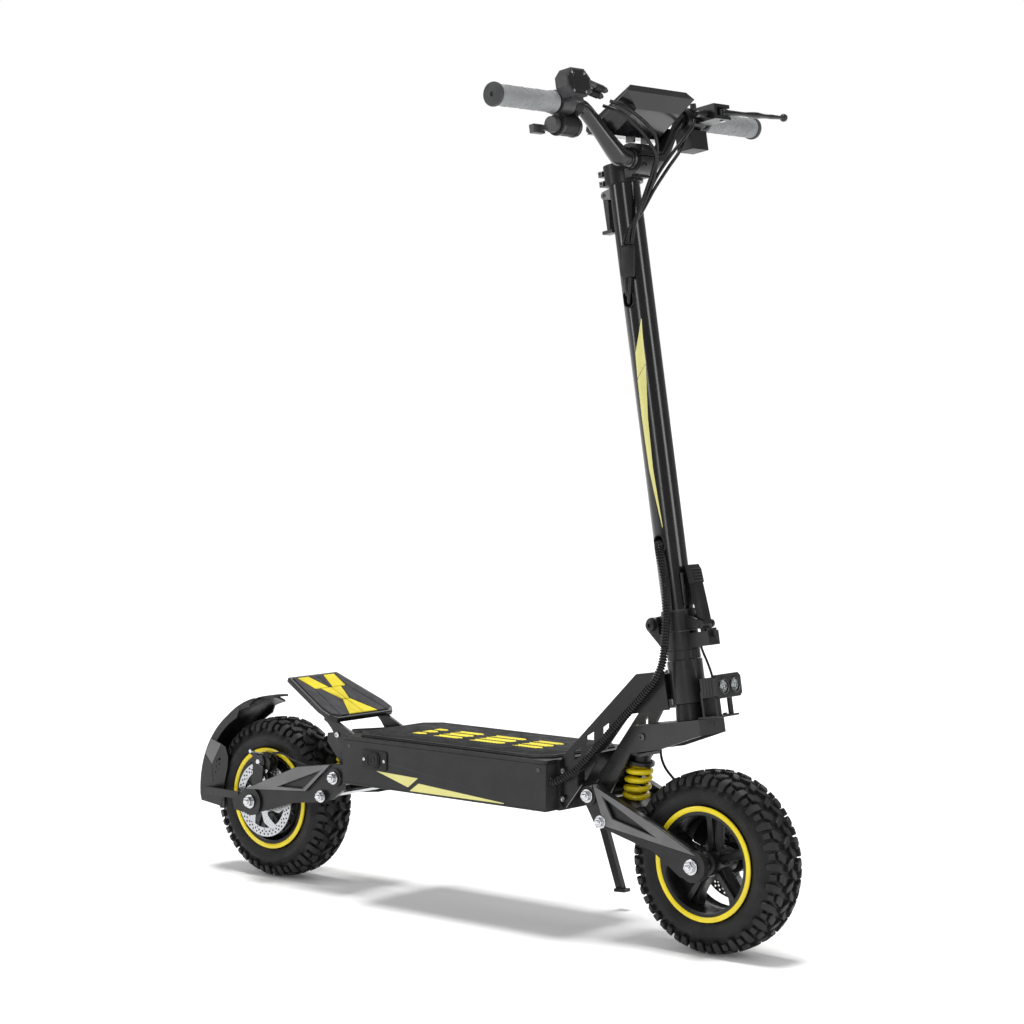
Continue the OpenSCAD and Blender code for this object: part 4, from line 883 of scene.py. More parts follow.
FRONT_FACET = ((0.01, 18.7), (0.66, 21.5), (1.02, 18.6), (0.22, -24.3))
FRONT_WINDOW = ((0.146, 11), (0.61, 6.2), (0.27, -6.7))
REAR_FACET = ((0.005, 21.2), (0.387, 32.3), (1.04, 21.5), (0.342, -8))
REAR_WINDOW = ((0.154, 15.4), (0.616, 10.3), (0.371, -2.1))


def facets(name, p, a, y, facet, window, body):
    """Grey plates on the arms' outer faces, with a three-cornered window."""
    plates, frames = Shape(), Shape()
    outline = [beside(p, a, *q) for q in facet]
    hole = [beside(p, a, *q) for q in window]
    mid = (sum(q[0] for q in hole) / 3, sum(q[1] for q in hole) / 3)
    rim = [(mid[0] + (q[0] - mid[0]) * 1.12, mid[1] + (q[1] - mid[1]) * 1.12) for q in hole]
    for side in (-1, 1):
        plates.join(prism([outline, rim], along_y, *sorted((side * (y - 5.4), side * (y + 0.15)))))
        frames.join(prism([rim, hole], along_y, *sorted((side * (y - 5.4), side * (y - 1.2)))))
    plates.make(name + "_facets", GREY_PAINT, body, "arm_black", bevel=0.9)
    frames.make(name + "_window_frames", BLACK_PAINT, body, "arm_black", bevel=0.5)


def shaft_set(name, node, p, a, y, body):
    """The pivot shaft, the axle and the cross bolt, with washers and nuts at both ends of each."""
    shape = Shape()
    x, z = beside(p, a, 0.18, -22)
    for centre, r, head in (((p.x, 0, p.z), 6, 7.6), ((a.x, 0, a.z), 6, 8.4), ((x, 0, z), 4, 7.2)):
        shape.join(lathe([(0, -y - 2), (r, -y - 2), (r, y + 2), (0, y + 2)], centre, ACROSS, 32))
        for side in (-1, 1):
            shape.join(bolt_stack(Vector(centre) + ACROSS * side * (y + 0.1), ACROSS * side, head))
    shape.make(name, STEEL, body, "steel", replaces=(node,), smooth=30)


refine("front_arms", ARM_PAINT, 1.2)
refine("rear_arms", ARM_PAINT, 1.2)
facets("front_arm", FRONT_PIVOT, FRONT_AXLE, FRONT_ARM_Y, FRONT_FACET, FRONT_WINDOW, "front_arm")
facets("rear_arm", REAR_PIVOT, REAR_AXLE, REAR_ARM_Y, REAR_FACET, REAR_WINDOW, "rear_arm")
shaft_set("front_arm_bolts", "front_shafts", FRONT_PIVOT, FRONT_AXLE, FRONT_ARM_Y, "front_arm")
shaft_set("rear_arm_bolts", "rear_shafts", REAR_PIVOT, REAR_AXLE, REAR_ARM_Y, "rear_arm")


# ---------------------------------------------------------------- springs

def spring(name, node, low, high, body, joint):
    """A coil from its low point to its high point, with flattened end turns."""
    length = (high - low).length
    d, s, t = basis(high - low)
    coil, wire, turns = 16.0, 3.9, 4.25
    path = []
    count = int(turns * 28)
    for i in range(count + 1):
        k = i / count
        rise = min(max((k * turns - 0.6) / (turns - 1.2), 0), 1) * 0.9 + k * 0.1
        a = 2 * math.pi * turns * k
        out = s * math.cos(a) + t * math.sin(a)
        path.append(low + d * (wire + (length - 2 * wire) * rise) + out * coil)
    obj = tube(path, wire, 14).make(name, YELLOW, body, "spring_yellow", replaces=(node,), smooth=60)
    tuple(d)
    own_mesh(obj)


def spring_ends(node, tilt):
    """The low and high ends of a spring that leans forward by tilt."""
    low, high = corners(node)
    mid = (low + high) / 2
    half = (high.z - low.z) / 2 - 2.5
    d = Vector((math.sin(tilt), 0, math.cos(tilt)))
    return mid - d * half, mid + d * half


spring("front_coil", "front_spring", *spring_ends("front_spring", RAKE), "steerer", "front_arm_pivot")
spring("rear_coil", "rear_spring", *spring_ends("rear_spring", math.radians(2.5)), "frame", "rear_arm_pivot")


# ---------------------------------------------------------------- deck

def inset(points, d):
    """A convex outline moved inward by d."""
    out = []
    n = len(points)
    for i in range(n):
        a, b, c = (Vector(points[j % n]) for j in (i - 1, i, i + 1))
        u, v = (b - a).normalized(), (c - b).normalized()
        nu, nv = Vector((-u.y, u.x)), Vector((-v.y, v.x))
        k = 1 + nu.dot(nv)
        out.append(tuple(b + (nu + nv) * (d / k)))
    return out


def clipped(outline, a, b):
    """The part of a convex outline whose first number lies between a and b."""
    for limit, keep in ((a, 1), (b, -1)):
        out = []
        for p, q in zip(outline, outline[1:] + outline[:1]):
            inside_p, inside_q = (p[0] - limit) * keep >= 0, (q[0] - limit) * keep >= 0
            if inside_p:
                out.append(p)
            if inside_p != inside_q:
                t = (limit - p[0]) / (q[0] - p[0])
                out.append((limit, p[1] + (q[1] - p[1]) * t))
        outline = out
    return outline


def mat_outline(edge):
    """The mat's eight-sided outline, moved in by edge."""
    low, high = corners("deck_mat")
    x0, x1, y0, y1, c = low.x + edge, high.x - edge, low.y + edge, high.y - edge, 24 - 0.6 * edge
    return [(x0 + c, y0), (x1 - c, y0), (x1, y0 + c), (x1, y1 - c), (x1 - c, y1), (x0 + c, y1), (x0, y1 - c),
            (x0, y0 + c)]


def bevelled_plate(outline, low, high, slope):
    """A plate whose top edge is cut back."""
    mid = high - slope * 0.7
    rings = ((outline, low), (outline, mid), (inset(outline, slope), high))
    return loft([[(*p, z) for p in ring] for ring, z in rings])


def deck_mat():
    """The rubber mat: a base, ribs across it, a raised border and plain yellow marks."""
    z0, z1 = corners("deck_mat")[0].z, corners("deck_mat")[1].z
    floor_z = z1 - 1.5
    base = bevelled_plate(mat_outline(0), z0, floor_z, 1.2)
    base.make("deck_mat_base", MAT_RUBBER, "frame", "mat_rubber", replaces=("deck_mat",), bevel=0.4)
    field = mat_outline(13)
    x0, x1 = field[7][0], field[2][0]
    ribs = Shape()
    count = 58
    step = (x1 - x0) / count
    for i in range(count):
        strip = clipped(field, x0 + i * step + 0.22 * step, x0 + (i + 1) * step - 0.22 * step)
        if len(strip) > 2:
            ribs.join(bevelled_plate(strip, floor_z - 0.3, z1 - 0.2, 0.7))
    ribs.make("deck_mat_ribs", MAT_RUBBER, "frame", "mat_rubber")
    border = prism([mat_outline(2.5), mat_outline(11)], upright, floor_z - 0.3, z1 - 0.3)
    border.make("deck_mat_border", MAT_RUBBER, "frame", "mat_rubber", bevel=0.7)
    marks = Shape()
    mid = (x0 + x1) / 2
    for a, b, notch in ((-120, -96, 0), (-78, -24, 8), (-6, 60, 8), (78, 132, 8)):
        for y, half in ((-24, 7), (0, 9), (24, 7)):
            bar = [(a, y - half), (b - 8, y - half), (b, y), (b - 8, y + half), (a, y + half), (a + notch, y)]
            marks.join(prism([[(mid + x, q) for x, q in bar]], upright, z1 - 1.2, z1 - 0.02))
    marks.make("deck_mat_marks", YELLOW_RUBBER, "frame", "mat_rubber", bevel=0.3)


def deck_stripes():
    """Pale wedges on both long sides of the deck: plain shapes with no lettering."""
    height = DECK_HIGH.z - DECK_LOW.z
    shape = Shape()
    for side in (-1, 1):
        y = side * DECK_HIGH.y
        for wedge in (((-110, 0.36), (-45, 0.08), (-25, 0.32)),
                      ((-24, 0.2), (-42, 0.0), (142, 0.01), (142, 0.03))):
            outline = [(x, DECK_LOW.z + share * height) for x, share in wedge]
            shape.join(prism([outline], along_y, *sorted((y - side * 0.3, y + side * 0.12))))
    shape.make("deck_stripes", PALE_DECAL, "frame", "frame_black")


def deck_fasteners():
    """Screws under the deck, in its sides and beside the charge port."""
    step = (DECK_HIGH.x - DECK_LOW.x - 60) / 3
    under = [(Vector((DECK_LOW.x + 30 + i * step, side * (DECK_HIGH.y - 10), DECK_LOW.z - 3)), (0, 0, -1))
             for i in range(4) for side in (-1, 1)]
    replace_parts(screws("deck_underside_screws", under, 3.0, 1.8, "frame"), "deck_screws")
    low, high = corners("charge_socket")
    port = [(Vector((x, low.y, (low.z + high.z) / 2)), -ACROSS) for x in (low.x + 3.8, high.x - 5)]
    screws("charge_socket_screws", port, 2.4, 1.0, "frame", mat=STEEL)
    edge = [(Vector((x, side * (DECK_HIGH.y - 0.2), DECK_LOW.z + 56)), ACROSS * side)
            for x in (DECK_LOW.x + 14, DECK_HIGH.x - 14) for side in (-1, 1)]
    screws("deck_side_screws", edge, 3.0, 0.9, "frame")


def charge_cover():
    """The port's rubber flap, with a raised rim, a ring and a finger tab."""
    low, high = corners("charge_cover")
    x, z = (low.x + high.x) / 2, (low.z + high.z) / 2
    w, h, c = (high.x - low.x) / 2, (high.z - low.z) / 2, 5

    def outline(k):
        cut = c + k * 0.4
        return [(x - w + cut, z - h + k), (x + w - cut, z - h + k), (x + w - k, z - h + cut),
                (x + w - k, z + h - c),
                (x + w - c, z + h - k), (x - w + c, z + h - k), (x - w + k, z + h - c),
                (x - w + k, z - h + cut)]

    tab = [(x - 5, z - h), (x + 5, z - h), (x + 4, z - h + 3), (x - 4, z - h + 3)]
    flap = prism([outline(0)], along_y, low.y + 1.0, high.y)
    flap.join(prism([outline(2.6), outline(4.0)], along_y, low.y, low.y + 1.2))
    flap.join(prism([circle(x, z, 5.2, 28), circle(x, z, 3.9, 28)], along_y, low.y + 0.3, low.y + 1.2))
    flap.join(prism([tab], along_y, low.y + 0.2, low.y + 1.2))
    flap.make("charge_flap", PLASTIC, "charge_cover", "plastic_black", replaces=("charge_cover",), bevel=0.4)


refine("deck_shell", DECK_PAINT, 1.4, 3)
refine("deck_bottom_cover", DECK_PAINT, 0.8)
refine("deck_top_plate", DECK_PAINT, 1.2, 3)
refine("battery_pack", CELL_BLUE, 2.0)
refine("motor_controller", CASE_METAL, 1.5)
refine("charge_socket", PLASTIC, 0.7)
deck_mat()
deck_stripes()
deck_fasteners()
charge_cover()


# ---------------------------------------------------------------- kick plate

KICK_FRONT = Vector((DECK_LOW.x - 47, 0, DECK_TOP + 18))
KICK_RISE = 54
KICK_RUN = KICK_FRONT.x - (REAR_AXLE.x + 66)
KICK_SLOPE = math.atan2(KICK_RISE, KICK_RUN)
KICK_LEN = math.hypot(KICK_RUN, KICK_RISE)


def on_kick(a, b, h):
    """a runs forward along the plate's face from its front edge, b to the left, h out of the face."""
    s, c = math.sin(KICK_SLOPE), math.cos(KICK_SLOPE)
    return KICK_FRONT + Vector((a * c + h * s, b, -a * s + h * c))


def kick_outline(k):
    """The plate's outline, moved in by k."""
    half = [(-k, 61 - k), (-12, 71 - k), (-34, 72 - k), (k - KICK_LEN, 54 - k)]
    return [(a, -b) for a, b in half[:1]] + half + [(a, -b) for a, b in half[:0:-1]]


# Panels of the pad's left half, as distance back from the front edge and distance from the middle
KICK_INLAY = (
    ((-6, 0.8), (-6, 31), (-47, 8), (-47, 0.8)),
    ((-48.5, 0.8), (-48.5, 7.5), (-84, 22), (-84, 0.8)),
    ((-85.2, 4.5), (-85.2, 33), (-121, 40), (-121, 17)),
)
KICK_PANELS = (
    ((-6, 33.5), (-6, 50), (-83, 35), (-83, 24), (-48, 10)),
    ((-6, 52.3), (-12.5, 64), (-34, 65), (-121, 48.5), (-121, 42.5), (-84.5, 36.8)),
    ((-86.5, 0.8), (-86.5, 3), (-121, 14.5), (-121, 0.8)),
)


def mirrored(outline):
    """The outline's other half, in reversed order."""
    return [(a, -b) for a, b in reversed(outline)]


def area(outline):
    """Twice the area inside an outline, and negative where it runs clockwise."""
    return sum(p[0] * q[1] - q[0] * p[1] for p, q in zip(outline, outline[1:] + outline[:1]))


def ribbed_panel(outline, step=3.2):
    """A panel cut into ribs that run across it, each standing on a thinner floor."""
    turned = outline[::-1] if area(outline) < 0 else outline
    shape = bevelled_plate(turned, 0.5, 1.25, 0.3)
    a, stop = min(q[0] for q in turned), max(q[0] for q in turned)
    inner = inset(turned, 0.5)
    while a < stop:
        strip = clipped(inner, a + 0.3, a + step - 0.3)
        if len(strip) > 2 and abs(area(strip)) > 6:
            shape.join(bevelled_plate(strip, 1.1, 2.05, 0.35))
        a += step
    return shape.moved(lambda v: on_kick(v.x, v.y, v.z))


def kick_pad():
    """The pad's base, and the ribbed panels on it: yellow ones in the middle, grey ones beside them."""
    base = prism([kick_outline(5.2)], on_kick, 0.1, 0.9)
    base.make("kick_pad_base", MAT_RUBBER, "frame", "pad_grey", replaces=("kick_plate_pad",))
    for name, panels, mat in (("inlay", KICK_INLAY, YELLOW_RUBBER), ("panels", KICK_PANELS, PAD_GREY)):
        shape = Shape()
        for outline in panels:
            shape.join(ribbed_panel(list(outline)), ribbed_panel(mirrored(outline)))
        shape.make("kick_pad_" + name, mat, "frame", "pad_grey", smooth=30)


def kick_details():
    """Screws through the support's cheeks."""
    y = corners("kick_plate_support")[1].y
    spots = [(Vector((DECK_LOW.x - back, side * y, DECK_LOW.z + up)), ACROSS * side)
             for back, up in ((22, 40), (52, 62)) for side in (-1, 1)]
    screws("kick_support_screws", spots, 4.4, 2.6, "frame", mat=STEEL)


refine("kick_plate", BLACK_PAINT, 1.6, 3)
refine("kick_plate_support", BLACK_PAINT, 0.9)
refine("rear_bracket", BLACK_PAINT, 0.9)
kick_pad()
kick_details()


# ---------------------------------------------------------------- neck, fork and lamp

LAMP_FOOT_TOP = -21  # height of the lamp bracket's foot along the steering axis


def neck_bolts():
    """Four screws in the deck's front wall."""
    spots = [(Vector((DECK_HIGH.x + 6, side * 72, DECK_LOW.z + up)), (1, 0, 0)) for side in (-1, 1)
             for up in (14, 54)]
    screws("neck_bolts", spots, 4.2, 3.4, "frame", mat=STEEL)


def fork_bolts():
    """One screw in each side of the fork, above the spring."""
    p = steer(-68, 0, -40)
    spots = [(Vector((p.x, side * corners("fork")[1].y, p.z)), ACROSS * side) for side in (-1, 1)]
    screws("fork_screws", spots, 5.2, 2.6, "steerer")


def lamp():
    """Two lamps, each a bowl, a light source, a clear lens and a bezel, and fins on their housing."""
    mid = to_steer(sum(corners("headlight_lenses"), Vector()) / 2)
    bowls, lights, lenses, bezels, fins = (Shape() for _ in range(5))
    bowl = [(0, -4.6), (3.4, -4.5), (6.6, -3.6), (8.8, -1.6), (9.3, -1.6), (9.3, -5.2), (0, -5.2)]
    light = [(0, -4.8), (2.6, -4.8), (2.4, -3.2), (1.2, -2.6), (0, -2.5)]
    lens = [(0, -1.4), (9.0, -1.4), (9.2, -1.0), (9.0, -0.4), (7.0, 0.2), (3.6, 0.7), (0, 0.85)]
    bezel = [(9.3, -0.6), (9.3, 0.7), (10.1, 1.2), (11.2, 0.9), (11.6, -0.2), (11.6, -0.6)]
    for side in (-1, 1):
        centre = steer(71, side * 13, mid.z)
        bowls.join(lathe(bowl, centre, AHEAD, 40))
        lights.join(lathe(light, centre, AHEAD, 24))
        lenses.join(lathe(lens, centre, AHEAD, 48))
        bezels.join(ring_lathe(bezel, centre, AHEAD, 48))
    bowls.make("lamp_bowls", REFLECTOR, "steerer", "lens", smooth=40)
    lights.make("lamp_sources", LED, "steerer", "lens", smooth=40)
    lenses.make("lamp_lenses", LENS, "steerer", "lens", replaces=("headlight_lenses",), smooth=40)
    bezels.make("lamp_bezels", SHINY_PLASTIC, "steerer", "cast_black", smooth=40)
    for i in range(4):
        u = 44 + 5.2 * i
        fins.join(brick((u, u + 1.6), (-27.6, 27.6), (6.5, 30.5), steer))
    fins.make("lamp_fins", CAST, "steerer", "cast_black", bevel=0.3)
    screws("lamp_bracket_screw", [(steer(58, 0, LAMP_FOOT_TOP), UP_STEM)], 3.2, 2.6, "steerer")


refine("neck_frame", BLACK_PAINT, 0.9)
dress("headset_bearings", STEEL)
refine("fork", BLACK_PAINT, 0.9)
refine("headset_cap", CAST, 0.8)
refine("headlight_body", CAST, 0.9)
refine("lamp_bracket", BLACK_PAINT, 0.6)
refine("front_spring_seat", CAST, 0.9)
neck_bolts()
fork_bolts()
lamp()


# ---------------------------------------------------------------- fold joint

def fold_pin():
    """The hinge bolt and its two domed heads."""
    centre = (corners("fold_pin")[0] + corners("fold_pin")[1]) / 2
    centre.y = 0
    shape = lathe([(0, -18), (4.95, -18), (4.95, 18), (0, 18)], centre, ACROSS, 32)
    head = [(0, 0), (7.4, 0), (7.9, 0.6), (7.9, 3.6), (7.2, 5.0), (5.2, 5.7), (3.0, 5.8), (2.7, 3.4),
            (0, 3.4)]
    for side in (-1, 1):
        shape.join(lathe(head, centre + ACROSS * side * 15.3, ACROSS * side, 40))
    shape.make("fold_pin_bolt", CAST, "steerer", "cast_black", replaces=("fold_pin",), smooth=32)


def latch_details():
    """Grip ribs on the latch lever's back."""
    pivot = to_steer(at("latch_swing"))
    ribs = Shape()
    for i in range(5):
        w = pivot.z + 60 + 4.2 * i
        ribs.join(brick((pivot.x - 3.4 - 0.5 * i, pivot.x - 1.2 - 0.5 * i), (-10.5, 10.5), (w, w + 1.6),
                        steer))
    ribs.make("latch_grip_ribs", CAST, "latch_lever", slot_of_node["latch_lever"], bevel=0.4)


refine("fold_base", CAST, 0.9)
refine("stem_foot", CAST, 0.9)
refine("latch_lever", CAST, 1.2, 3)
fold_pin()
latch_details()


# ---------------------------------------------------------------- stem

# The stem's flash: height up the stem, then the angles round it between which it lies
STREAKS = (
    ((539, -54, -52), (515, -72, -56), (492, -93, -57), (476, -96, -57), (458, -99, -96)),
    ((474, -60, -58), (455, -99, -62), (400, -102, -75), (329, -98, -80), (246, -73, -71)),
)


def film(table, across=8):
    """A thin film bent round the stem between the rows of a table."""
    rows = []
    for p, q in zip(table, table[1:]):
        rows += [tuple(a + (b - a) * i / 8 for a, b in zip(p, q)) for i in range(8)]
    rows.append(table[-1])

    def strip(r, w, left, right):
        turns = [math.radians(left + (right - left) * k / across) for k in range(across + 1)]
        return [steer(r * math.cos(a), r * math.sin(a), w) for a in turns]

    return loft([strip(STEM_R + 0.12, *row) + strip(STEM_R - 0.2, *row)[::-1] for row in rows])


def stem_streak():
    """The yellow flashes on the stem."""
    shape = Shape()
    for table in STREAKS:
        shape.join(film(table))
    shape.make("stem_streak", PALE_DECAL, "stem", "stem_black")


def stem_collar():
    """A rolled edge where the stem leaves its foot, the clamp's screws, and a gasket in the fold's seam."""
    ring = [(0.1, 126.5), (0.1, 130.5), (1.8, 130.2), (2.6, 129), (2.6, 126.6)]
    collar = ring_lathe([(STEM_R + r, w) for r, w in ring], HEAD, UP_STEM, 64)
    collar.make("stem_collar", CAST, "stem", "cast_black", smooth=40)
    shape = Shape()
    for w in (CLAMP.z - 23, CLAMP.z - 9):
        for side in (-1, 1):
            shape.join(socket_screw(steer(-29, side * 12, w), ACROSS * side, 3.6, 3.0))
    for v in (-13, 13):
        for w in (CLAMP.z - 12, CLAMP.z + 12):
            shape.join(socket_screw(steer(CLAMP.x + 18.4, v, w), AHEAD, 3.2, 2.6))
    shape.make("clamp_screws", DARK_STEEL, "stem", "steel", smooth=30)
    gasket = [(STEM_R - 4, 100.06), (STEM_R + 1.6, 100.06), (STEM_R + 1.6, 100.6), (STEM_R - 4, 100.6)]
    ring_lathe(gasket, HEAD, UP_STEM, 64).make("fold_gasket", MAT_RUBBER, "stem", "cast_black", smooth=40)


refine("stem_tube", GLOSS_BLACK, 0.6)
refine("stem_grommets", MAT_RUBBER, 0.8)
refine("bar_clamp", CAST, 1.2, 3)
refine("stem_hook", CAST, 1.0, 3)
stem_streak()
stem_collar()


# ---------------------------------------------------------------- handlebar and grips

def bar_line():
    """The bar's centre line from the clamp out to the grip, for the left side."""
    low = [(0, 24, 0), (0, 36, 1), (-0.3, 50, 8)]
    high = [(0.3, 100, -9), (0, 116, -1), (0, 130, 0)]
    return [(end.x + u, v, end.z + w) for end, part in ((CLAMP, low), (GRIP, high)) for u, v, w in part]


def handlebar():
    """The riser bar, thick in its clamp and tapering to the grips."""
    waist = [(0, -26), (15.4, -26), (15.9, -25.4), (15.9, 25.4), (15.4, 26), (0, 26)]
    shape = lathe(waist, steer(CLAMP.x, 0, CLAMP.z), ACROSS, 48)
    path = smooth_path([steer(*p) for p in bar_line()], 10)
    path += [steer(GRIP.x, v, GRIP.z) for v in (150, 200, BAR_END - 5)]
    radii = []
    for p in path:
        k = min(1.0, max(0.0, (p.y - 30) / 55))
        radii.append(15.0 + (BAR_R - 15.0) * k * k * (3 - 2 * k))
    for side in (-1, 1):
        shape.join(tube([Vector((p.x, p.y * side, p.z)) for p in path], radii, 32))
    shape.make("handlebar_tube", GLOSS_BLACK, "stem", "stem_black", replaces=("handlebar",), smooth=40)


GRIP_BANDS = ((12, 3), (18, 3), (24, 3), (44, 2), (49, 2), (54, 2), (76, 2), (81, 2), (86, 2), (98, 3),
              (104, 3))


def grip(side):
    """A rubber grip: a smooth sleeve with a few raised bands between two collars."""
    end = GRIP_LEN - 7.2
    profile = [(BAR_R + 0.2, 0), (14.9, 0), (15.6, 0.8), (15.6, 5), (14.9, 6), (14.1, 7)]
    for y, width in GRIP_BANDS:
        profile += [(14.05, y), (14.5, y + 0.45), (14.5, y + width - 0.45), (14.05, y + width)]
    profile += [(14.1, GRIP_LEN - 12), (14.5, GRIP_LEN - 11), (14.5, end), (BAR_R + 0.2, end)]
    return ring_lathe([(r, (GRIP_START + h) * side) for r, h in profile], steer(GRIP.x, 0, GRIP.z), ACROSS,
                      56)


LOZENGE = ((-1.0, 0.0), (-0.3, 13.0), (0.45, 13.0), (1.0, 0.0), (0.3, -13.0), (-0.45, -13.0))


def grip_pads(side):
    """Raised lozenges round the sleeve, in three stepped rows."""
    shape = Shape()
    for row, y in enumerate((36.5, 65.5, 96.5)):
        for i in range(10):
            rings = []
            for r, k in ((13.6, 1.0), (14.75, 0.82)):
                turns = [math.radians(36 * i + 18 * row + turn * k) for _, turn in LOZENGE]
                rings.append([steer(GRIP.x, side * (GRIP_START + y + along * 5.5 * k), GRIP.z)
                              + Vector((math.cos(a), 0, math.sin(a))) * r
                              for a, (along, _) in zip(turns, LOZENGE)])
            shape.join(loft(rings))
    return shape


def end_cap(side):
    """A rounded plug with a screw hole in the grip's end."""
    profile = [(0, -7.0), (15.6, -7.0), (16.3, -6.2), (16.6, -3.4), (16.0, -1.0), (14.6, -0.15), (3.4, 0),
               (3.2, -2.4),
               (0, -2.4)]
    return lathe([(r, (BAR_END + h) * side) for r, h in profile], steer(GRIP.x, 0, GRIP.z), ACROSS, 56)


def grips():
    """Both grips with their pads, and their end caps."""
    sleeves = Shape().join(grip(-1), grip(1), grip_pads(-1), grip_pads(1))
    sleeves.make("grip_sleeves", GRIP_GREY, "stem", "grip_rubber", replaces=("grips",), smooth=34)
    Shape().join(end_cap(-1), end_cap(1)).make("grip_caps", GRIP_CAP, "stem", "grip_rubber", smooth=34)


handlebar()
grips()


# ---------------------------------------------------------------- controls

def clamp_screws():
    """The screws that pinch the controls' rings on the bar."""
    spots = [(steer(GRIP.x - 16.6, y, GRIP.z), -AHEAD) for y in (-RING_Y, RING_Y - 12)]
    spots += [(steer(GRIP.x - 6, side * (RING_Y - 25), GRIP.z + 14.2), UP_STEM) for side in (-1, 1)]
    screws("control_clamp_screws", spots, 3.0, 2.0, "stem", mat=STEEL)


def knurled(r, rings, step, end):
    """Profile of a cable adjuster: a barrel with raised rings, then its tapered end."""
    profile = [(0, 0), (r, 0)]
    for k in range(rings):
        profile += [(r + 0.8, 1.0 + step * k), (r + 0.8, 2.6 + step * k), (r, step * (k + 1))]
    return profile + end


def right_controls():
    """The master body's cover with its screws, and the cable adjusters."""
    u = GRIP.x + 37.5
    v, w = -RING_Y - 3, GRIP.z + 20
    face = [(-7, 26), (7, 26), (19, 14), (19, -14), (7, -26), (-7, -26), (-19, -14), (-19, 14)]
    cover = Shape()
    for k, top in ((0.86, 0.4), (0.6, 0.9)):
        outline = [(v + b * k, w + a * k) for a, b in face]
        cover.join(prism([outline], lambda a, b, h: steer(h, a, b), u - 0.2, u + top))
    cover.make("right_control_cover", SHINY_PLASTIC, "stem", "cast_black", bevel=0.4)
    spots = [(steer(u + 0.3, v + b, w + a), AHEAD)
             for a, b in ((12.5, 13), (-12.5, 13), (12.5, -13), (-12.5, -13))]
    screws("right_control_screws", spots, 1.9, 0.9, "stem", mat=STEEL)
    adjusters = Shape()
    profile = knurled(4.6, 5, 3.2, [(4.0, 19), (3.4, 22), (2.6, 26), (0, 26)])
    for i in (0, 1):
        a = steer(GRIP.x + 21 + 9 * i, -RING_Y + 40, GRIP.z + 14 + 6 * i)
        b = steer(GRIP.x + 21 + 9 * i, -RING_Y + 62, GRIP.z + 10 + 6 * i)
        adjusters.join(lathe(profile, a, b - a, 24))
    adjusters.make("right_cable_adjusters", PLASTIC, "stem", "cast_black", smooth=34)


def throttle():
    """Collars on the throttle housing and ribs on its paddle."""
    u, v, w = GRIP.x + 2, -RING_Y, GRIP.z - 32
    centre = steer(u, v, w)
    collar = [(14.05, -19), (14.6, -19), (14.9, -18), (14.9, -15), (14.6, -14), (14.05, -14)]
    lid = [(0, 20.9), (12.6, 20.9), (12.6, 21.4), (10.8, 22.0), (5, 22.2), (0, 22.2)]
    shape = ring_lathe(collar, centre, ACROSS, 48).join(ring_lathe([(r, -h) for r, h in collar], centre,
                                                                   ACROSS, 48))
    shape.join(lathe(lid, centre, ACROSS, 40))
    shape.make("throttle_collars", SHINY_PLASTIC, "stem", "plastic_black", smooth=34)
    ribs = Shape()
    for i in range(4):
        a = u - 25.2 + 1.9 * i
        ribs.join(brick((a, a + 0.9), (v - 43.4, v - 24.4), (w + 3.6, w + 4.4), steer))
    ribs.make("throttle_paddle_ribs", PLASTIC, "throttle_paddle", slot_of_node["throttle_paddle"])


def brake_lever():
    """The blade: flattened, waved for two fingers, with a ball at its tip."""
    pivot = to_steer(at("brake_lever_squeeze"))
    centre = steer(*pivot)
    reach = corners("brake_lever")[1].y - pivot.y - 6
    # distance out from the pivot, distance ahead of it, and half the blade's width
    table = ((-4, 0, 7.5), (6, 2.0, 8), (14, 4.5, 7.2), (30, 7.5, 5.6), (44, 9.0, 5.2), (58, 10.5, 6.6),
             (70, 11.5, 7.2), (82, 12.5, 5.8), (94, 13.5, 4.9), (104, 14.8, 5.2), (reach - 8, 16.6, 4.2),
             (reach - 4, 17.4, 4.4))
    fine = smooth_path(table, 6)
    blade = tube([steer(pivot.x + p.y, pivot.y + p.x, pivot.z) for p in fine], [p.z for p in fine], 20, 0.68)
    arc = [math.radians(a) for a in range(-75, 76, 15)]
    ball = [(0, -6)] + [(6 * math.cos(a), 6 * math.sin(a)) for a in arc] + [(0, 6)]
    blade.join(lathe(ball, steer(pivot.x + 18, pivot.y + reach, pivot.z), ACROSS, 28))
    blade.join(lathe([(0, -5.5), (7.6, -5.5), (8.2, -5.0), (8.2, 5.0), (7.6, 5.5), (0, 5.5)], centre, UP_STEM,
                     36))
    blade.join(lathe([(0, -6.4), (2.95, -6.4), (2.95, 6.4), (0, 6.4)], centre, UP_STEM, 20))
    blade.make("lever_blade", BLACK_PAINT, "brake_lever", slot_of_node["brake_lever"],
               replaces=("brake_lever",),
               smooth=42)


